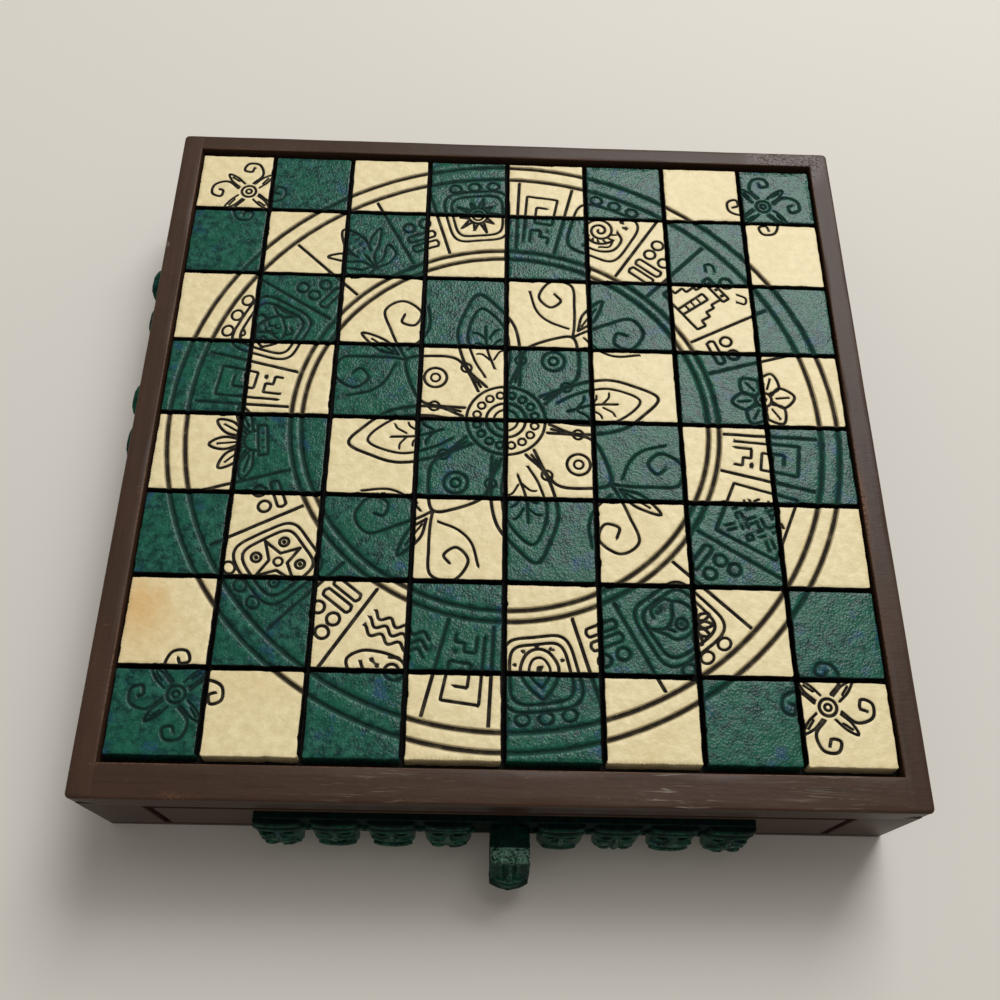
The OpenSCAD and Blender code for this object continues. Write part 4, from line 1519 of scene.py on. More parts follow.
# Distance from head to head, and the strip that they stand on: its length past eight of them, and thickness
HEAD_PITCH = 19.2
STRIP_ENDS = 14.8
STRIP_T = 2.5


def profile(z):
    return np.interp(
        z, (-10.5, -9, -6.6, -4.4, -2, 0.5, 4, 8, 10.5), (0.66, 0.94, 1, 0.92, 0.84, 0.72, 0.56, 0.42, 0.25))


def side_profile(z):
    return np.interp(z, (-10.5, -6.5, 0, 7, 9.6, 10.5), (0.55, 0.72, 0.8, 1.3, 1.2, 0.8))


def skin(x, z, lift=0.0):
    """A point on the skin of a head, which stands out most at its lower lip."""
    reach = SKIN_REACH * profile(z)
    return np.array([x, -reach * (1 - min(abs(x) / 8.4, 0.97) ** 2.6) ** 0.38 - lift, z])


def across(x_from, x_to, z, lift, radius, sag=0.0):
    """A ridge across a head, its middle raised by sag."""
    xs = np.linspace(x_from, x_to, 13)
    half = max(abs(x_from), abs(x_to))
    return tube([skin(x, z + sag * (1 - (x / half) ** 2), lift) for x in xs], radius)


def groove(places, lift, radius):
    """A rod laid on a head's skin, through places given by x and z."""
    return tube([skin(x, z, lift) for x, z in places], radius)


def small_mouth(solids, cuts, _):
    cuts.append(groove([(x, -4.6 + abs(x) * 0.12) for x in np.linspace(-5.2, 5.2, 11)], 0.6, 0.85))
    solids += [
        across(-5.6, 5.6, -6.6, 0.1, 1.0, -0.6),
        ball(skin(0, -8.2, -0.2), (2.4, 1.3, 1.4))]


def toothed_mouth(solids, cuts, _):
    solids.append(across(-6.8, 6.8, -1.8, -0.1, 0.9, 0.5))
    cuts.append(ball(skin(0, -4.0, 0.9), (5.8, 2.6, 1.7)))
    solids += [ball(skin(x, -3.7, -0.75), (0.72, 0.8, 1.5)) for x in np.linspace(-4.6, 4.6, 6)]
    solids.append(across(-6.2, 6.2, -6.8, 0.0, 1.2))


def wide_mouth(solids, cuts, lip):
    solids.append(across(-7.0, 7.0, -2.3, 0.2, lip))
    cuts.append(groove([(x, -4.6) for x in np.linspace(-6.6, 6.6, 13)], 0.5, 1.15))
    solids.append(across(-6.4, 6.4, -7.0, 0.0, 1.3))


def twin_cheeks(solids, cuts, _):
    """A ridge down the whole face between two round cheeks."""
    ridge = ((5.4, 0.2), (0, 0.8), (-4, 0.8), (-8.6, 0.2))
    solids.append(tube([skin(0, z, lift) for z, lift in ridge], (0.7, 1.0, 1.2, 0.9)))
    for x in (-1, 1):
        solids.append(ball(skin(x * 3.9, -2.8, -0.5), (2.5, 1.7, 3.0)))
        lip = ((2.2, -6.2, 0.2), (4.4, -6.9, 0.2), (6.2, -5.6, -0.1))
        solids.append(tube([skin(x * at, z, lift) for at, z, lift in lip], 0.9))
        cuts += [
            tube([skin(x * 1.9, -0.5, 0.6), skin(x * 1.8, -5.4, 0.7)], 0.65),
            ball(skin(x * 4.8, -9.2, 0.4), (1.9, 1.5, 1.0))]


def curled_lip(solids, cuts, way):
    """A lip that curls up at one side."""
    curl = (
        (-6.2, -4.2), (-3.6, -2.0), (-0.4, -2.4), (2.4, -4.4), (4.8, -3.4), (5.6, -5.6), (3.4, -7.6),
        (0.8, -6.8), (1.8, -5.4))
    under = ((-6.2, -6.0), (-3.6, -4.2), (-0.8, -4.6), (0, -6.6))
    solids += [
        groove([(x * way, z) for x, z in curl], 0.1, 1.0),
        ball(skin(-3.4 * way, -6.6, -0.3), (2.5, 1.4, 1.5))]
    cuts.append(groove([(x * way, z) for x, z in under], 0.7, 0.7))


def curled_lip_and_cheek(solids, cuts, way):
    curled_lip(solids, cuts, way)
    solids.append(ball(skin(-5.4 * way, 0.4, 0.0), (1.5, 1.3, 2.1)))
    cuts.append(groove([(-3.3 * way, z) for z in (4, 1.5, -0.6)], 0.7, 0.75))


# The eight heads: height of the brow, its sag, the lower face, and a choice that it takes
HEADS = (
    (4.6, 0.7, curled_lip_and_cheek, 1), (5.2, -0.6, toothed_mouth, 0), (4.4, 0.0, wide_mouth, 0.75),
    (5.6, 1.0, curled_lip, 1), (5.0, -1.0, small_mouth, 0), (4.6, 0.4, twin_cheeks, 0),
    (5.2, 0.8, wide_mouth, 1.15), (4.8, -0.4, curled_lip_and_cheek, -1))


def head(brow, sag, lower_face, choice):
    """A carved head: points, faces and how far each point stands above the plain skin."""
    rings = []
    for z in (-10.3, -9.4, -8, -6.6, -5, -3.5, -2, 0.5, 2.5, 4, 6, 8, 9.4, 10.2):
        wide = 8.0 * (0.86 if z < -10 else 1.0 - 0.012 * max(-z - 3, 0))
        rings.append([skin(x, z) for x in np.linspace(-wide, wide, 23)] + [(wide, 0.9, z), (-wide, 0.9, z)])
    solids = [loft(rings), across(-6.6, 6.6, brow, -0.1, 0.9, sag), across(-7.2, 7.2, 8.6, -0.2, 0.8)]
    cuts, eye = [], brow - 2.5
    for x in (-3.7, 3.7):
        cuts.append(ball(skin(x, eye, 0.2), (2.1, 1.4, 1.5)))
        solids.append(ball(skin(x, eye, -0.9), 1.2))
    if lower_face is not twin_cheeks:
        solids.append(tube([skin(0, brow, 0), skin(0, eye, 0.5), skin(0, -0.6, 0.9)], (0.8, 1.0, 1.5)))
        solids += [ball(skin(x, -1.0, 0.2), 1.1) for x in (-1.7, 1.7)]
    lower_face(solids, cuts, choice)
    solids.append(across(-6.4, 6.4, -9.2, -0.2, 0.9, -0.4))
    spool = lathe(((2.1, 0.0), (2.2, 1.4), (1.9, 2.3), (0.9, 2.5), (0.85, 1.6), (0.2, 1.5)), count=20)
    solids += [moved(spool, (x * 7.2, 0.6, 0.8), ("X", 90)) for x in (-1, 1)]
    points, faces = carve(solids, cuts, 0.3, 1, 0.34, 0.04)
    lift = np.array([skin(x, z)[1] - y for x, y, z in points])
    lift[(points[:, 1] > -0.5) | (abs(points[:, 0]) > 7.4)] = 0.0
    return points, faces, lift


def slab_faces(nx, ny):
    """Faces of a slab between two grids of points, the outer one first, closed round its rim."""
    n, faces = ny + 1, []
    under = (nx + 1) * n
    for i in range(nx):
        for j in range(ny):
            a, b = i * n + j, (i + 1) * n + j
            faces += [(a, b, b + 1, a + 1), (a + 1 + under, b + 1 + under, b + under, a + under)]
    rim = [i * n for i in range(nx + 1)] + [nx * n + j for j in range(1, n)]
    rim += [i * n + ny for i in range(nx - 1, -1, -1)] + list(range(ny - 1, 0, -1))
    return faces + [(a, a + under, b + under, b) for a, b in zip(rim, rim[1:] + rim[:1])]


def frieze_strip(length, height, rng):
    """The strip behind the heads, its front slightly rough and rounded at its edges."""
    nx, nz = int(length / STRIP_T), 10
    front, back = [], []
    for i in range(nx + 1):
        for k in range(nz + 1):
            x, z = -length / 2 + length * i / nx, -height / 2 + height * k / nz
            edge = min(length / 2 - abs(x), height / 2 - abs(z))
            front.append((x, -STRIP_T + 0.5 * math.exp(-edge / 0.5) + rng.uniform(0, 0.16), z))
            back.append((x, 0.0, z))
    return np.array(front + back), slab_faces(nx, nz)


def frieze_points(heads, reaches, height):
    """Strip and heads of a frieze, its back on y = 0: points, faces and marks of painted shade and highlight.
    """
    drawer = 0 in reaches
    strip = frieze_strip(8 * HEAD_PITCH + STRIP_ENDS, height, random.Random(len(reaches)))
    # The whole strip is darkened: painted shade
    shells, lifts = [strip], [np.full(len(strip[0]), -0.7)]
    for i, reach in enumerate(reaches):
        if not reach:
            continue
        points, head_faces, lift = heads[(i - (i > 4) if drawer else i + 3) % 8]
        points = np.array(points)
        outward = points[:, 1] < 0
        if not drawer:
            points[outward, 1] *= (side_profile(points[:, 2]) / profile(points[:, 2]))[outward]
        points[outward, 1] *= -reach / points[:, 1].min()
        # The upper part of each drawer head is darkened: painted shade
        if drawer:
            lift = lift - smooth(points[:, 2], -1.0, 6.0) * 0.7
        points += ((i - (len(reaches) - 1) / 2) * HEAD_PITCH, -STRIP_T, 0)
        shells.append((points, head_faces))
        lifts.append(lift)
    lift = np.concatenate(lifts)
    # Recesses darker as painted shade; ridges paler, partly wear and partly a painted highlight
    return *joined(shells), {"raised": smooth(lift, 0.35, 1.0) * 0.35, "line": smooth(-lift, 0.1, 0.8)}


# Side outline of the pull: distance out of the drawer's face, and height
PULL_OUTLINE = (
    (0, 8.6), (7.2, 10.6), (10.6, 9.4), (11.2, 7.2), (17.4, -2.6), (19.2, -5.6), (18.4, -9.2), (12, -10.8),
    (6, -9), (0, -7))
# y and z of the upper and lower end of the pull's slanting face, the way along it and the way out of it
FACE_HIGH, FACE_LOW = np.array((-10.9, 7.0)), np.array((-17.6, -3.1))
FACE_ALONG = (FACE_LOW - FACE_HIGH) / np.linalg.norm(FACE_LOW - FACE_HIGH)
FACE_OUT = np.array((FACE_ALONG[1], -FACE_ALONG[0]))


def on_face(along, lift):
    """y and z of a place on the pull's face."""
    return FACE_HIGH + FACE_ALONG * along + FACE_OUT * lift


def pull_points():
    """The pull, a long head that looks out and up, its back on y = 0: points, faces and marks of painted
    shade and highlight.
    """
    neck = []
    for x, size in ((-6.0, 0.94), (-3.0, 1.0), (0, 1.0), (3.0, 1.0), (6.0, 0.94)):
        neck.append([(x, -(9 + (y - 9) * size), z * size) for y, z in PULL_OUTLINE])
    solids = [loft(neck)]
    for y, z in ((-8.9, 9.4), (-11.0, 7.9)):
        solids.append(arched(5.6, (y, z), (y - 0.5, z + 0.4), 1.35))
    solids.append(arched(5.6, on_face(1.0, 0.1), on_face(0.9, 0.5), 1.0))
    for x in (-2.6, 2.6):
        solids.append(tube([(x, *on_face(2.2, -0.2)), (x * 0.95, *on_face(8.8, -0.1))], (0.85, 0.75)))
    nose = ((1.6, 0.0), (6.0, 0.9), (8.2, 1.1))
    solids += [
        tube([(0, *on_face(*place)) for place in nose], (0.7, 0.85, 1.2)),
        arched(3.8, on_face(10.0, -0.1), on_face(10.6, 0.6), 0.8),
        arched(3.2, on_face(12.3, -0.6), on_face(12.8, 0.1), 0.75),
        ball((0, -17.6, -7.6), (2.6, 1.7, 2.2))]
    for x in (-1, 1):
        solids += [
            tube([(x * 5.5, *on_face(2.0, -0.3)), (x * 5.5, *on_face(10.5, -0.4))], 0.8),
            ball((x * 5.4, -5.2, 2.0), (1.0, 2.2, 2.6))]
    cuts = []
    for x in (-3.9, -1.35, 1.35, 3.9):
        cuts.append(tube([(x, *on_face(2.4, 0.6)), (x * 0.9, *on_face(9.0, 0.6))], 0.72))
    cuts += [
        tube([(x, *on_face(1.2, 1.3)) for x in (-6.4, 6.4)], 0.8),
        tube([(x, *on_face(11.2, 0.7)) for x in (-3.4, 3.4)], 0.5)]
    for x in (-1, 1):
        cuts.append(tube([(x * 6.4, -2.0, z) for z in (-5, 0, 5)], 1.0))
    points, faces = carve(solids, cuts, 0.24, 2, 0.34, 0.05)
    points = np.array(points)
    chin = points[:, 1] < -12
    points[chin, 1] += ((points[:, 1] + 12) * -0.2 * (points[:, 0] / 6.2) ** 2)[chin]
    # Painted shade in the cuts of the face and on the neck near the drawer, and a painted highlight on the
    # brow and the ridges of the face
    depth = (points[:, 1:] - FACE_HIGH) @ FACE_OUT
    brow = (points[:, 2] > 6.4) & (points[:, 1] < -7.6)
    front = (points[:, 2] < 6.4) & (points[:, 1] < -11) & (depth > -2)
    dark = np.where(front, smooth(-depth, 0.0, 0.6), smooth(points[:, 1], -9.5, -7.0))
    raised = brow * 0.9 + front * smooth(depth, 0.3, 0.9) * 0.35
    return points, faces, {"raised": raised, "line": dark * 0.8 * ~brow}


# The chessmen, each standing on z = 0 and facing -y
# Height of a man's foot
FOOT = 4.0


def ring_of(count, radius, z, size, start=0.0, sweep=360.0):
    """Small balls in a ring."""
    found = []
    for k in range(count):
        a = math.radians(start + sweep * k / max(count - (sweep < 360), 1))
        found.append(ball((*polar(radius, a), z), size, 10))
    return found


def hoop(radius, z, thick):
    a = np.linspace(0, 2 * math.pi, 41)
    return tube(np.c_[radius * np.cos(a), radius * np.sin(a), np.full(41, z)], thick, 8)


def robe(h, d):
    """Foot, pleated robe, apron, belt, folded arms and necklace."""
    r = d / 2
    foot = (
        (0.95, 0.05), (0.985, 0.5), (0.985, FOOT * 0.55), (0.9, FOOT * 0.68), (0.955, FOOT * 0.8),
        (0.93, FOOT))
    skirt = (
        (0.88, FOOT - 0.4), (0.86, FOOT), (0.75, FOOT * 1.5), (0.68, h * 0.35), (0.61, h * 0.5),
        (0.6, h * 0.62), (0.7, h * 0.82), (0.69, h * 0.9), (0.5, h + 0.4))
    solids = [
        lathe([(r * size, z) for size, z in foot], count=48),
        lathe([(r * size, z) for size, z in skirt], count=40),
        block((-r * 0.3, -r * 0.84, FOOT - 0.3), (r * 0.3, -r * 0.3, h * 0.5), 0.92),
        hoop(r * 0.63, h * 0.53, 0.75),
        ball((0, -r * 0.68, h * 0.53), (r * 0.2, 1.1, r * 0.17)),
    ]
    for k in range(14):
        a = math.radians(-60 + 300 * k / 13)
        c, s = math.cos(a), math.sin(a)
        pleat = ((0.79, FOOT + 0.8), (0.69, h * 0.34), (0.61, h * 0.5))
        solids.append(tube([(r * size * c, r * size * s, z) for size, z in pleat], (0.75, 0.6, 0.35), 6))
    for z in (0.2, 0.3, 0.4):
        solids.append(tube([(x * 0.27, -r * 0.83, h * z) for x in (-r, r)], 0.4, 6))
    for side in (-1, 1):
        arm = ((0.62, 0, 0.86), (0.82, -0.12, 0.72), (0.62, -0.5, 0.66), (0.14, -0.74, 0.72))
        solids += [
            tube([(side * r * x, r * y, h * z) for x, y, z in arm], (1.6, 1.5, 1.3, 1.25)),
            ball((side * r * 0.1, -r * 0.74, h * 0.73), (1.3, 1.0, 1.1))]
    solids += ring_of(11, r * 0.67, h * 0.915, 0.85, 180, 180)
    return solids


def plain_foot(d):
    foot = (
        (0.475, 0.05), (0.4925, 0.5), (0.4925, FOOT * 0.6), (0.45, FOOT * 0.72), (0.48, FOOT * 0.85),
        (0.465, FOOT))
    return lathe([(d * size, z) for size, z in foot], count=48)


def face(w, h, z0):
    """A calm mask with ear spools: solids and cuts."""
    depth = w * 0.88
    front = -depth / 2
    rings = []
    a = np.linspace(0, 2 * math.pi, 36, endpoint=False)
    for z, size in ((-0.5, 0.82), (h * 0.1, 0.93), (h * 0.4, 1.0), (h * 0.8, 1.0), (h + 0.4, 0.96)):
        x, y = oval(w / 2 * size, depth / 2 * size, 0.6, a)
        rings.append(np.c_[x, y, np.full(36, z0 + z)])
    solids = [
        loft(rings),
        arched(w * 0.42, (front + 0.3, z0 + h * 0.76), (front - 0.2, z0 + h * 0.79), w * 0.07, 8),
        tube([(0, front, z0 + h * 0.74), (0, front - w * 0.07, z0 + h * 0.4)], (w * 0.06, w * 0.1), 8),
        arched(w * 0.2, (front + 0.1, z0 + h * 0.23), (front - 0.25, z0 + h * 0.25), w * 0.05, 8),
        arched(w * 0.17, (front + 0.1, z0 + h * 0.13), (front - 0.2, z0 + h * 0.12), w * 0.055, 8)]
    cuts = []
    spool = lathe([(w * 0.2, 0), (w * 0.21, w * 0.08), (w * 0.13, w * 0.1), (w * 0.1, w * 0.05)], count=20)
    for side in (-1, 1):
        x, eye, cheek = side * w, z0 + h * 0.58, z0 + h * 0.34
        cuts.append(ball((x * 0.24, front + 0.05, eye), (w * 0.13, 0.75, h * 0.095)))
        solids += [
            ball((x * 0.24, front + 0.5, eye), (w * 0.09, 0.6, h * 0.075)),
            ball((x * 0.32, front + 0.35, cheek), (w * 0.13, 0.6, h * 0.11)),
            moved(spool, (x * 0.49, 0, z0 + h * 0.42), ("Y", 90 * side))]
    return solids, cuts


def cap(w, *rows):
    """A turned cap from rows of width, in shares of the face's, and height."""
    return lathe([(w * size, z) for size, z in rows], count=32)


def pawn(h, d):
    w, mask, hat = d * 0.58, h * 0.31, h * 0.1
    body = h - mask - hat
    solids, cuts = face(w, mask, body)
    top = body + mask
    solids += robe(body, d)
    solids.append(cap(
        w, (0.56, top - 0.4), (0.61, top + hat * 0.15), (0.61, top + hat * 0.5),
        (0.5, top + hat * 0.85), (0.2, h - 0.05)))
    solids.append(hoop(w * 0.57, top + 0.3, 0.55))
    return carve(solids, cuts, 0.36, 1, 0.22, 0.04)


def bishop(h, d):
    w, hat, mask = d * 0.5, h * 0.26, h * 0.22
    body = h - mask - hat
    top = body + mask
    solids, cuts = face(w, mask, body)
    solids += robe(body, d)
    solids.append(cap(
        w, (0.6, top - 0.4), (0.64, top + 0.5), (0.64, top + hat * 0.16), (0.52, top + hat * 0.22),
        (0.36, top + hat * 0.6), (0.15, top + hat * 0.92), (0.08, h - 0.05)))
    turns = np.linspace(0, 2.6 * 2 * math.pi, 60)
    share = turns / turns[-1]
    radius = w * (0.5 - 0.36 * share)
    climb = top + hat * (0.26 + 0.6 * share)
    solids.append(tube(np.c_[radius * np.cos(turns), radius * np.sin(turns), climb], 0.5, 6))
    solids += ring_of(12, w * 0.62, top + hat * 0.1, 0.6)
    solids.append(ball((0, 0, h - 1.3), 1.25))
    return carve(solids, cuts, 0.38, 1, 0.24, 0.04)


def queen(h, d):
    w, hat, mask = d * 0.5, h * 0.22, h * 0.21
    body = h - mask - hat
    top = body + mask
    fan = d * 0.48
    solids, cuts = face(w, mask, body)
    solids += robe(body, d)
    solids.append(cap(
        w, (0.56, top - 0.4), (0.6, top + 0.6), (0.6, top + hat * 0.3), (0.48, top + hat * 0.45)))
    solids += ring_of(12, w * 0.58, top + hat * 0.2, 0.65)
    disc = lathe([(fan - 1.3, 0), (fan - 0.7, 0.5), (fan - 0.7, d * 0.3), (fan - 1.2, d * 0.34)], count=48)
    middle = h - fan
    solids.append(moved(disc, (0, d * 0.47, middle), ("X", 90)))
    for k in range(20):
        a = math.radians(18 * k)
        u = np.array((math.cos(a), 0, math.sin(a)))
        centre = np.array((0, d * 0.13, middle))
        solids += [
            tube([centre + u * fan * 0.45, centre + u * (fan - 1.0)], (0.45, 0.75), 6),
            ball(centre + u * (fan - 1.05) + (0, 1.2, 0), (0.95, 1.4, 0.95), 10)]
    solids.append(block((-w * 0.3, 0, body + mask * 0.4), (w * 0.3, d * 0.44, middle)))
    return carve(solids, cuts, 0.38, 1, 0.24, 0.04)


def king(h, d):
    w, hat, mask = d * 0.52, h * 0.27, h * 0.21
    body = h - mask - hat
    top = body + mask
    solids, cuts = face(w, mask, body)
    solids += robe(body, d)
    tier, front, back = hat / 4, -d * 0.26, d * 0.48
    for i in range(4):
        half, z = d * (0.3 + 0.05 * i) - 0.15, top + i * tier
        lid = z + tier - (0.1 if i == 3 else 0.55)
        solids.append(block((-half, front, z - 0.3), (half, back - 0.2, lid)))
        low, high = (-half + 0.6, front + 0.6, z + tier - 0.9), (half - 0.6, back - 0.8, z + tier - 0.05)
        solids.append(block(low, high))
        for k in range(5 + i):
            x = (k - (4 + i) / 2) * 2 * (half - 0.9) / (4 + i)
            solids.append(tube([(x, -d * 0.265, z + 0.5), (x, -d * 0.265, z + tier - 1.0)], 0.55, 6))
        for side in (-1, 1):
            for k in range(5):
                y = -d * 0.2 + k * d * 0.155
                cuts.append(tube([(side * half, y, z + 0.6), (side * half, y, z + tier - 1.1)], 0.45, 6))
    solids.append(ball((0, -d * 0.3, top + tier), (1.7, 1.2, 1.7)))
    return carve(solids, cuts, 0.4, 1, 0.24, 0.04)


# Side outline of a horse's head, in shares of its depth and height
HORSE = (
    (-0.52, -0.02), (0.73, -0.02), (0.79, 0.5), (0.58, 0.86), (0.25, 1.0), (-0.06, 0.93), (-0.62, 0.8),
    (-1.0, 0.66), (-0.98, 0.52), (-0.66, 0.5), (-0.42, 0.56), (-0.27, 0.44), (-0.48, 0.2))


def knight(h, d):
    thick, neck = d * 0.42, FOOT * 1.5
    up, deep = h - neck, d * 0.46
    outline = [(y * deep, neck + z * up) for y, z in HORSE]
    middle = np.mean(outline, axis=0)
    solids = [
        plain_foot(d), lathe([(d * 0.43, FOOT - 0.4), (d * 0.42, neck - 0.6), (d * 0.38, neck)], count=48)]
    for share, size in ((0.62, 1.0), (0.85, 0.95), (1.0, 0.87)):
        inner = [tuple(middle + (np.array(p) - middle) * size) for p in outline]
        solids.append(plate([(y, max(z, neck - 0.4)) for y, z in inner], thick * share))
    cuts = []
    for side in (-1, 1):
        edge = side * thick / 2

        def at(x, y, z):
            """A place on this side, in shares of the head's thickness, depth and height."""
            return edge * x, deep * y, neck + up * z

        solids += [
            ball(at(0.86, -0.17, 0.76), (0.9, 1.25, 1.0)),
            tube([at(0.9, -0.42, 0.79), at(0.95, -0.17, 0.83), at(0.9, 0.05, 0.78)], 0.5, 8)]
        cuts += [
            ball(at(0.75, -0.86, 0.63), (1.0, 0.6, 0.6)),
            tube([at(1, -1.0, 0.555), at(1, -0.62, 0.58)], 0.45, 8)]
        solids += [
            tube([at(0.92, -0.55, 0.79), at(0.95, -0.5, 0.52)], 0.5, 8),
            tube([at(0.95, -0.5, 0.6), at(0.97, 0.1, 0.6), at(0.9, 0.4, 0.66)], 0.45, 8)]
        ear = lathe([(1.5, 0), (1.3, up * 0.09), (0.5, up * 0.17)], 0.7, 12)
        solids.append(moved(ear, (side * thick * 0.32, deep * 0.14, neck + up * 0.82)))
        for k in range(6):
            t = k / 5
            root = at(0.7, 0.42 + 0.3 * (1 - t), 0.2 + 0.62 * t)
            tip = at(0.86, 0.14 + 0.26 * (1 - t), 0.14 + 0.62 * t)
            solids.append(tube([root, tip], (0.8, 0.45), 8))
    for k in range(8):
        t = k / 7
        back = deep * np.interp(t, (0, 0.55, 1), (0.74, 0.76, 0.42))
        solids.append(ball((0, back, neck + up * (0.12 + 0.8 * t)), (1.5, 0.9, 1.4), 10))
    solids.append(hoop(d * 0.4, neck - 0.2, 0.6))
    return carve(solids, cuts, 0.4, 2, 0.24, 0.04)


def pillar(half, low, high, taper=1.0):
    """A square block round the middle."""
    return block((-half, -half, low), (half, half, high), taper)


def rook(h, d):
    room, tiers, steps = h - FOOT, 4, 11
    tier = room * 0.19
    top = FOOT + tiers * tier
    halves = [d * (0.33 - 0.05 * i) for i in range(tiers)]
    solids = [plain_foot(d)]
    for i, half in enumerate(halves):
        z = FOOT + i * tier
        solids += [
            pillar(half, z - 0.4, z + tier - 1.0, 0.97),
            pillar(half + 0.05, z + tier - 1.3, z + tier)]
    for k in range(steps):
        z = FOOT + tiers * tier * k / steps
        y = -d * 0.42 + d * 0.22 * k / steps
        solids.append(block((-d * 0.1, y, z - 0.3), (d * 0.1, 0, z + tiers * tier / steps)))
    for side in (-1, 1):
        x, rings = side * d * 0.125, []
        for y, z in ((-d * 0.425, FOOT - 0.3), (-d * 0.2, top)):
            rings.append([(x - 0.7, y, z), (x + 0.7, y, z), (x + 0.7, 0, z), (x - 0.7, 0, z)])
        solids.append(loft(rings))
    half = d * 0.17
    solids += [
        pillar(half, top - 0.4, top + room * 0.16),
        pillar(half * 1.22, top + room * 0.16 - 0.3, top + room * 0.2),
        pillar(half, top + room * 0.2 - 0.3, h - 0.05)]
    cuts = [block((-half * 0.34, -half * 1.6, top + 0.3), (half * 0.34, -half * 0.6, top + room * 0.11))]
    for turn in (0, 90, 180, 270):
        for x in (-0.6, 0, 0.6):
            hole = tube([(x * half, y * half, top + room * 0.178) for y in (-1.25, -1.1)], 0.35, 6)
            cuts.append(moved(hole, turn=("Z", turn)))
        if not turn:
            continue
        for i, w in enumerate(halves[:3]):
            low = FOOT + i * tier
            for x in (-0.5, 0, 0.5):
                panel = block((x * w - 0.8, -w - 0.15, low + 1.2), (x * w + 0.8, -w + 0.3, low + tier - 2.0))
                solids.append(moved(panel, turn=("Z", turn)))
    return carve(solids, cuts, 0.36, 1, 0.24, 0.03)


# Body and grain of each stained board
BOARDS = {
    "base_panel": ("case", 1), "deck": ("case", 0), "left_wall": ("case", 1), "right_wall": ("case", 1),
    "front_left_stile": ("case", 2), "front_right_stile": ("case", 2),
    "back_left_stile": ("case", 2), "back_right_stile": ("case", 2),
    "front_drawer_face": ("front_drawer", 0), "back_drawer_face": ("back_drawer", 0),
}
# How the names of the nodes of bare wood end
BARE_WOOD = ("guide", "side", "rear", "bottom", "partition")


def outer_edges(mesh):
    """A board's sharp edges that are long, or lie at an upright corner of the case."""
    x, y, _ = (corners("deck")[1] - CORNER_R - 0.1) * MM
    found = []
    for edge in mesh.edges:
        at_case_corner = all(abs(v.co.x) > x and abs(v.co.y) > y for v in edge.verts)
        if edge.calc_face_angle(0) > 1.0 and (edge.calc_length() > 2.5 * MM or at_case_corner):
            found.append(edge)
    return found


def give_material(thing, material):
    thing.data.materials.clear()
    thing.data.materials.append(material)


class CHESS_OT_boards(bpy.types.Operator):
    """Breaks the edges of the case's boards and stains them; gives the inner boards bare wood"""

    bl_idname = "chess_set.boards"
    bl_label = "Boards of the case"

    def execute(self, context):
        edge = context.scene.chess_boards.board_edge
        for node, (body, axis) in BOARDS.items():
            mesh = bmesh.new()
            mesh.from_mesh(frame["nodes"][node].data)
            bmesh.ops.remove_doubles(mesh, verts=mesh.verts, dist=1e-6)
            bmesh.ops.dissolve_limit(mesh, angle_limit=0.02, verts=mesh.verts, edges=mesh.edges)
            bmesh.ops.bevel(
                mesh, geom=outer_edges(mesh), offset=edge, segments=3, profile=0.5, affect="EDGES",
                clamp_overlap=False)
            data = bpy.data.meshes.new(f"{node}_board")
            mesh.to_mesh(data)
            mesh.free()
            made = dress(bpy.data.objects.new(f"{node}_board", data), dark_wood(axis), body)
            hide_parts(node)
        for node, thing in frame["nodes"].items():
            if thing.get("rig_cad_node") and node.endswith(BARE_WOOD):
                low, high = corners(node)
                give_material(thing, raw_wood(int(np.argmax(high - low))))
        give_material(frame["nodes"]["bed"], black_compound("black_compound"))
        return {"FINISHED"}


def drawer_pair(part, points, faces, marks):
    """The same carving on the front drawer and, turned half round, on the back one."""
    for end, sign in (("front", 1), ("back", -1)):
        name = f"{end}_drawer_{part}"
        made = piece(
            f"{name}_carving", points * (sign, sign, 1), faces, carved_stone_in_shade(), f"{end}_drawer", marks, 60)
        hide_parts(name)


class CHESS_OT_friezes(bpy.types.Operator):
    """Carves the heads and sets them in the four friezes"""

    bl_idname = "chess_set.friezes"
    bl_label = "Carved friezes"

    def execute(self, context):
        heads = [head(*choices) for choices in HEADS]
        low, high = corners("front_drawer_frieze")
        case_low, case_high = corners("deck")
        middle, height = (low + high) / 2, high[2] - low[2]
        points, faces, marks = frieze_points(heads, DRAWER_REACHES, height)
        drawer_pair("frieze", points + (middle[0], case_low[1], middle[2]), faces, marks)
        for name, reaches, side in (("left_relief", LEFT_REACHES, -1), ("right_relief", RIGHT_REACHES, 1)):
            points, faces, marks = frieze_points(heads, reaches, height)
            points = np.c_[-points[:, 1] * side, points[:, 0] * side, points[:, 2]]
            points += (case_high[0] * side, 0, middle[2])
            made = piece(f"{name}_carving", points, faces, carved_stone_in_shade(), "case", marks, 60)
            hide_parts(name)
        return {"FINISHED"}


class CHESS_OT_pulls(bpy.types.Operator):
    """Carves the long head that each drawer is pulled by"""

    bl_idname = "chess_set.pulls"
    bl_label = "Drawer pulls"

    def execute(self, context):
        points, faces, marks = pull_points()
        low, high = corners("front_drawer_pull")
        points[:, 0] *= (high[0] - low[0] - 0.1) / np.ptp(points[:, 0])
        place = ((low[0] + high[0]) / 2, high[1], (low[2] + high[2]) / 2)
        drawer_pair("pull", points + place, faces, marks)
        return {"FINISHED"}


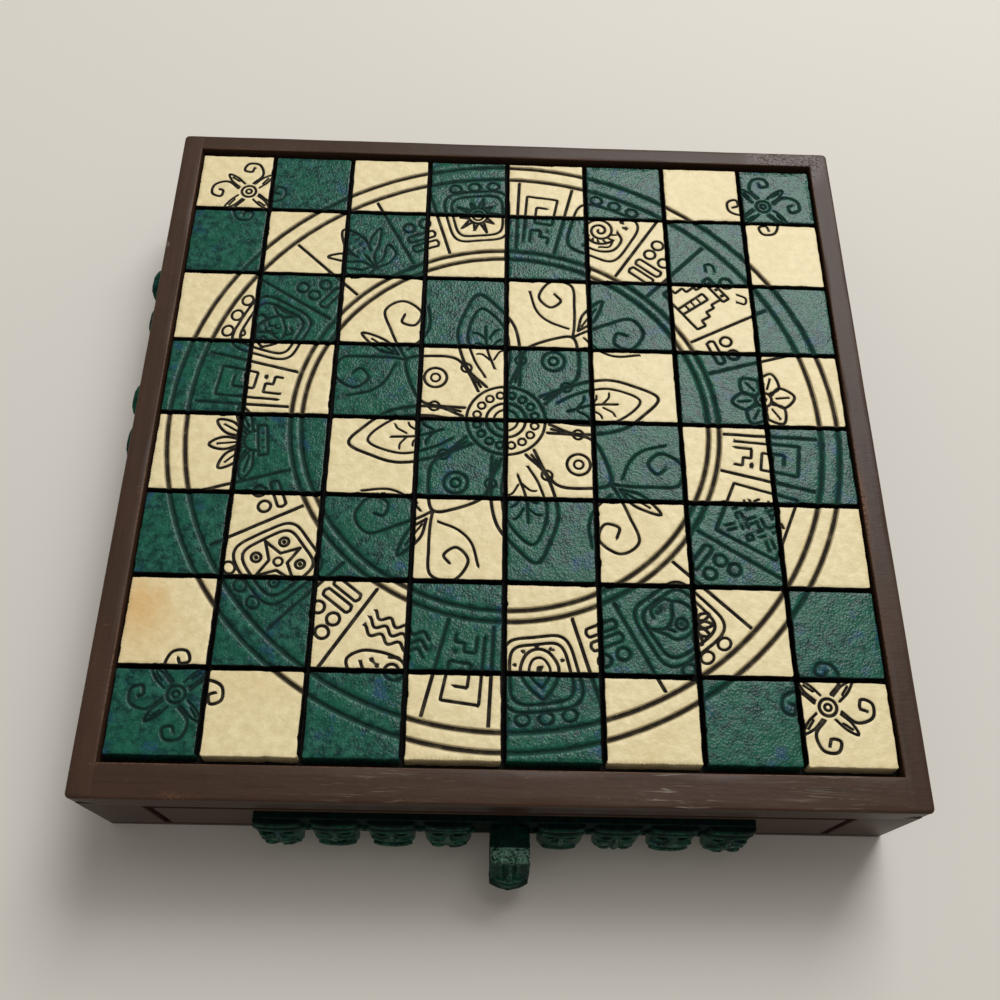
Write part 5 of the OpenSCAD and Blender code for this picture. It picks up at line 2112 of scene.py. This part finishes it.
class CHESS_OT_nails(bpy.types.Operator):
    """Drives the wire nails that hold the base panel"""

    bl_idname = "chess_set.nails"
    bl_label = "Base nails"

    def execute(self, context):
        sizes = context.scene.chess_nails
        low, high = corners("base_nails")
        inset = sizes.head / 2
        left = Vector((low[0] * MM + inset, low[1] * MM + inset, 0.0))
        right = Vector((high[0] * MM - inset, low[1] * MM + inset, 0.0))
        step = Vector((0.0, ((high[1] - low[1]) * MM - sizes.head) / (sizes.count - 1), 0.0))
        mesh = nail_recipe().made(bare_object(), {
            "Count": sizes.count, "Left Start": left, "Right Start": right, "Step": step,
            "Head Radius": sizes.head / 2, "Head Thickness": sizes.head_thickness,
            "Shank Radius": sizes.shank / 2, "Length": float(high[2] * MM),
            "Material": nail_steel("nail_steel")})
        made = dress(bpy.data.objects.new("wire_nails", mesh), mesh.materials[0], "case")
        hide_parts("base_nails")
        return {"FINISHED"}


# Number of cells of the felt's grid
FELT_CELLS = (74, 40)


class CHESS_OT_felt(bpy.types.Operator):
    """Lays the felt in the drawers"""

    bl_idname = "chess_set.felt"
    bl_label = "Drawer felt"

    def execute(self, context):
        material = fuzzy_felt("green_felt", chosen("felt"))
        rng = random.Random(9)
        for end in ("front", "back"):
            low, high = corners(f"{end}_drawer_felt")
            phases = [rng.uniform(0, 6.3) for _ in range(4)]
            x, y = (np.linspace(low[k], high[k], FELT_CELLS[k] + 1) for k in (0, 1))
            x, y = np.meshgrid(x, y, indexing="ij")
            edge = np.minimum(np.minimum(x - low[0], high[0] - x), np.minimum(y - low[1], high[1] - y))
            rise = 0.07 * np.sin(x / 9 + phases[0]) * np.sin(y / 7 + phases[1])
            rise += 0.05 * np.sin(x / 3.1 + phases[2] + y / 4.7)
            top = high[2] - 0.12 + rise - 0.3 * np.exp(-edge / 0.4)
            bottom = np.full_like(top, low[2] + 0.01)
            points = np.vstack([np.c_[x.ravel(), y.ravel(), z.ravel()] for z in (top, bottom)])
            faces = slab_faces(*FELT_CELLS)
            made = piece(f"{end}_felt_lining", points, faces, material, f"{end}_drawer")
            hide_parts(f"{end}_drawer_felt")
        return {"FINISHED"}


# Each colour's drawer and material
MEN = (("green", "front_drawer", men_green), ("cream", "back_drawer", men_cream))


def lay_down(points, heads_back, low, high, x):
    """Lays a standing man on its back in its solid's place, its head to the back or the front."""
    flat = np.c_[points[:, 0], points[:, 2], -points[:, 1]]
    middle = (low[2] + high[2]) / 2
    if heads_back:
        return flat + (x, low[1], middle)
    return flat * (-1, -1, 1) + (x, high[1], middle)


def set_men(kind, shape):
    """Puts a man of each colour, or two, in the place of its solid."""
    carved = None
    for colour, body, stone in MEN:
        for node in (f"{colour}_{kind}", f"{colour}_{kind}_1", f"{colour}_{kind}_2"):
            if node not in frame["nodes"]:
                continue
            low, high = corners(node)
            carved = carved or shape(high[1] - low[1], high[0] - low[0])
            points = lay_down(carved[0], colour == "green", low, high, (low[0] + high[0]) / 2)
            made = piece(f"{node}_carving", points, carved[1], stone(), body, sharp=60)
            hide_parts(node)


class CHESS_OT_kings(bpy.types.Operator):
    """Carves the kings with their stepped headdress"""

    bl_idname = "chess_set.kings"
    bl_label = "Kings"

    def execute(self, context):
        set_men("king", king)
        return {"FINISHED"}


class CHESS_OT_queens(bpy.types.Operator):
    """Carves the queens with their round fan"""

    bl_idname = "chess_set.queens"
    bl_label = "Queens"

    def execute(self, context):
        set_men("queen", queen)
        return {"FINISHED"}


class CHESS_OT_bishops(bpy.types.Operator):
    """Carves the bishops with their pointed cap"""

    bl_idname = "chess_set.bishops"
    bl_label = "Bishops"

    def execute(self, context):
        set_men("bishop", bishop)
        return {"FINISHED"}


class CHESS_OT_knights(bpy.types.Operator):
    """Carves the knights, each a horse's head and neck"""

    bl_idname = "chess_set.knights"
    bl_label = "Knights"

    def execute(self, context):
        set_men("knight", knight)
        return {"FINISHED"}


class CHESS_OT_rooks(bpy.types.Operator):
    """Carves the rooks, each a stepped tower with a stair"""

    bl_idname = "chess_set.rooks"
    bl_label = "Rooks"

    def execute(self, context):
        set_men("rook", rook)
        return {"FINISHED"}


class CHESS_OT_pawns(bpy.types.Operator):
    """Carves one pawn and repeats it along each drawer"""

    bl_idname = "chess_set.pawns"
    bl_label = "Pawns"

    def execute(self, context):
        recipe = row_recipe()
        carved = None
        for colour, body, stone in MEN:
            low, high = corners(f"{colour}_pawns")
            width = high[2] - low[2]
            carved = carved or pawn(high[1] - low[1], width)
            points = lay_down(carved[0], colour == "cream", low, high, 0.0)
            step = (high[0] - low[0] - width) / 7
            mesh = recipe.made(bare_object(points, carved[1]), {
                "Count": 8, "Start": Vector(((low[0] + width / 2) * MM, 0, 0)),
                "Step": Vector((step * MM, 0, 0)), "Material": stone()})
            made = dress(bpy.data.objects.new(f"{colour}_pawns_carving", mesh), stone(), body, 60)
            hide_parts(f"{colour}_pawns")
        return {"FINISHED"}


# The stage, in metres. Each area light: its place, size and colour
LIGHTS = {
    "main_light": ((0.66, 1.5, 1.8), (1.3, 1.2), (0.98, 0.985, 0.99)),
    "top_light": ((0.26, 0.34, 1.25), (0.55, 0.5), (1.0, 1.0, 1.0))}
LIGHTS_AIM = (0, 0, 0.04)
FILL_COLOUR = (1.0, 0.96, 0.9, 1.0)
# The camera, as fitted to the photograph: its place, the ways it looks and stands, its lens and shift
CAMERA_PLACE = (-0.01307, -0.20248, 0.38455)
CAMERA_LOOK, CAMERA_UP = (0.0196, 0.4252, -0.9049), (-0.0232, 0.905, 0.4248)
CAMERA_LENS, SENSOR = 37.2, 36.0
CAMERA_SHIFT = (0.0109, 0.03)


def lay_floor(scene, size):
    half = size / 2
    s = Surface("pale_floor")
    colour = chosen("floor")
    base = s.mix(s.noise(3.0, 2.0).step(0.3, 0.7), tint(colour, 0.98), colour)
    mesh = bpy.data.meshes.new("floor")
    places = [(-half, -half, 0), (half, -half, 0), (half, half, 0), (-half, half, 0)]
    mesh.from_pydata(places, [], [(0, 1, 2, 3)])
    mesh.materials.append(s.finish(Base_Color=base, Roughness=0.8, Specular_IOR_Level=0.2))
    floor = bpy.data.objects.new("floor", mesh)
    scene.collection.objects.link(floor)


def hang_light(scene, name, power):
    place, size, colour = LIGHTS[name]
    light = bpy.data.lights.new(name, "AREA")
    light.shape, light.energy, light.color = "RECTANGLE", power, colour
    light.size, light.size_y = size
    lamp = bpy.data.objects.new(name, light)
    lamp.location = place
    lamp.rotation_mode = "QUATERNION"
    lamp.rotation_quaternion = (Vector(LIGHTS_AIM) - lamp.location).to_track_quat("-Z", "Y")
    scene.collection.objects.link(lamp)


def set_fill(scene, level):
    world = bpy.data.worlds.new("fill")
    world.use_nodes = True
    background = world.node_tree.nodes["Background"]
    background.inputs["Color"].default_value = FILL_COLOUR
    background.inputs["Strength"].default_value = level
    scene.world = world


def set_camera(scene):
    camera = bpy.data.cameras.new("camera")
    camera.sensor_width, camera.lens = SENSOR, CAMERA_LENS
    camera.shift_x, camera.shift_y = CAMERA_SHIFT
    camera.clip_start, camera.clip_end = 0.01, 50.0
    eye = bpy.data.objects.new("camera", camera)
    look, up = Vector(CAMERA_LOOK).normalized(), Vector(CAMERA_UP)
    right = look.cross(up).normalized()
    turn = Matrix((right, right.cross(look), -look)).transposed().to_4x4()
    eye.matrix_world = Matrix.Translation(CAMERA_PLACE) @ turn
    scene.collection.objects.link(eye)
    scene.camera = eye


class CHESS_OT_stage(bpy.types.Operator):
    """Sets the floor, the lights and the camera"""

    bl_idname = "chess_set.stage"
    bl_label = "Floor, lights and camera"

    def execute(self, context):
        scene = context.scene
        sizes = scene.chess_stage
        lay_floor(scene, sizes.floor_size)
        hang_light(scene, "main_light", sizes.key_power)
        hang_light(scene, "top_light", sizes.top_power)
        set_fill(scene, sizes.fill_level)
        set_camera(scene)
        scene.view_settings.view_transform = "Standard"
        return {"FINISHED"}


class CHESS_PT_panel(bpy.types.Panel):
    """Lists the parts of the set in the sidebar"""

    bl_label = "Chess set"
    bl_idname = "CHESS_PT_panel"
    bl_space_type = "VIEW_3D"
    bl_region_type = "UI"
    bl_category = "Chess set"

    def draw(self, context):
        for group in GROUPS:
            box = self.layout.box()
            held = getattr(context.scene, group)
            for key in held.__annotations__:
                box.prop(held, key)
        for operator in OPERATORS:
            self.layout.operator(operator.bl_idname)


OPERATORS = (
    CHESS_OT_squares, CHESS_OT_top_frame, CHESS_OT_boards, CHESS_OT_nails, CHESS_OT_felt, CHESS_OT_friezes,
    CHESS_OT_pulls, CHESS_OT_kings, CHESS_OT_queens, CHESS_OT_bishops, CHESS_OT_knights, CHESS_OT_rooks,
    CHESS_OT_pawns, CHESS_OT_stage)
GROUPS = {
    "chess_squares": SquareSizes, "chess_boards": BoardSizes, "chess_nails": NailSizes,
    "chess_colours": Colours, "chess_stage": StageSizes}


def register():
    for group in GROUPS.values():
        bpy.utils.register_class(group)
    for name, group in GROUPS.items():
        setattr(bpy.types.Scene, name, PointerProperty(type=group))
    for operator in (*OPERATORS, CHESS_PT_panel):
        bpy.utils.register_class(operator)


def unregister():
    for operator in (*OPERATORS, CHESS_PT_panel):
        bpy.utils.unregister_class(operator)
    for name, group in GROUPS.items():
        delattr(bpy.types.Scene, name)
        bpy.utils.unregister_class(group)


def main():
    register()
    for operator in OPERATORS:
        section, name = operator.bl_idname.split(".")
        getattr(getattr(bpy.ops, section), name)()


if __name__ == "__main__":
    main()
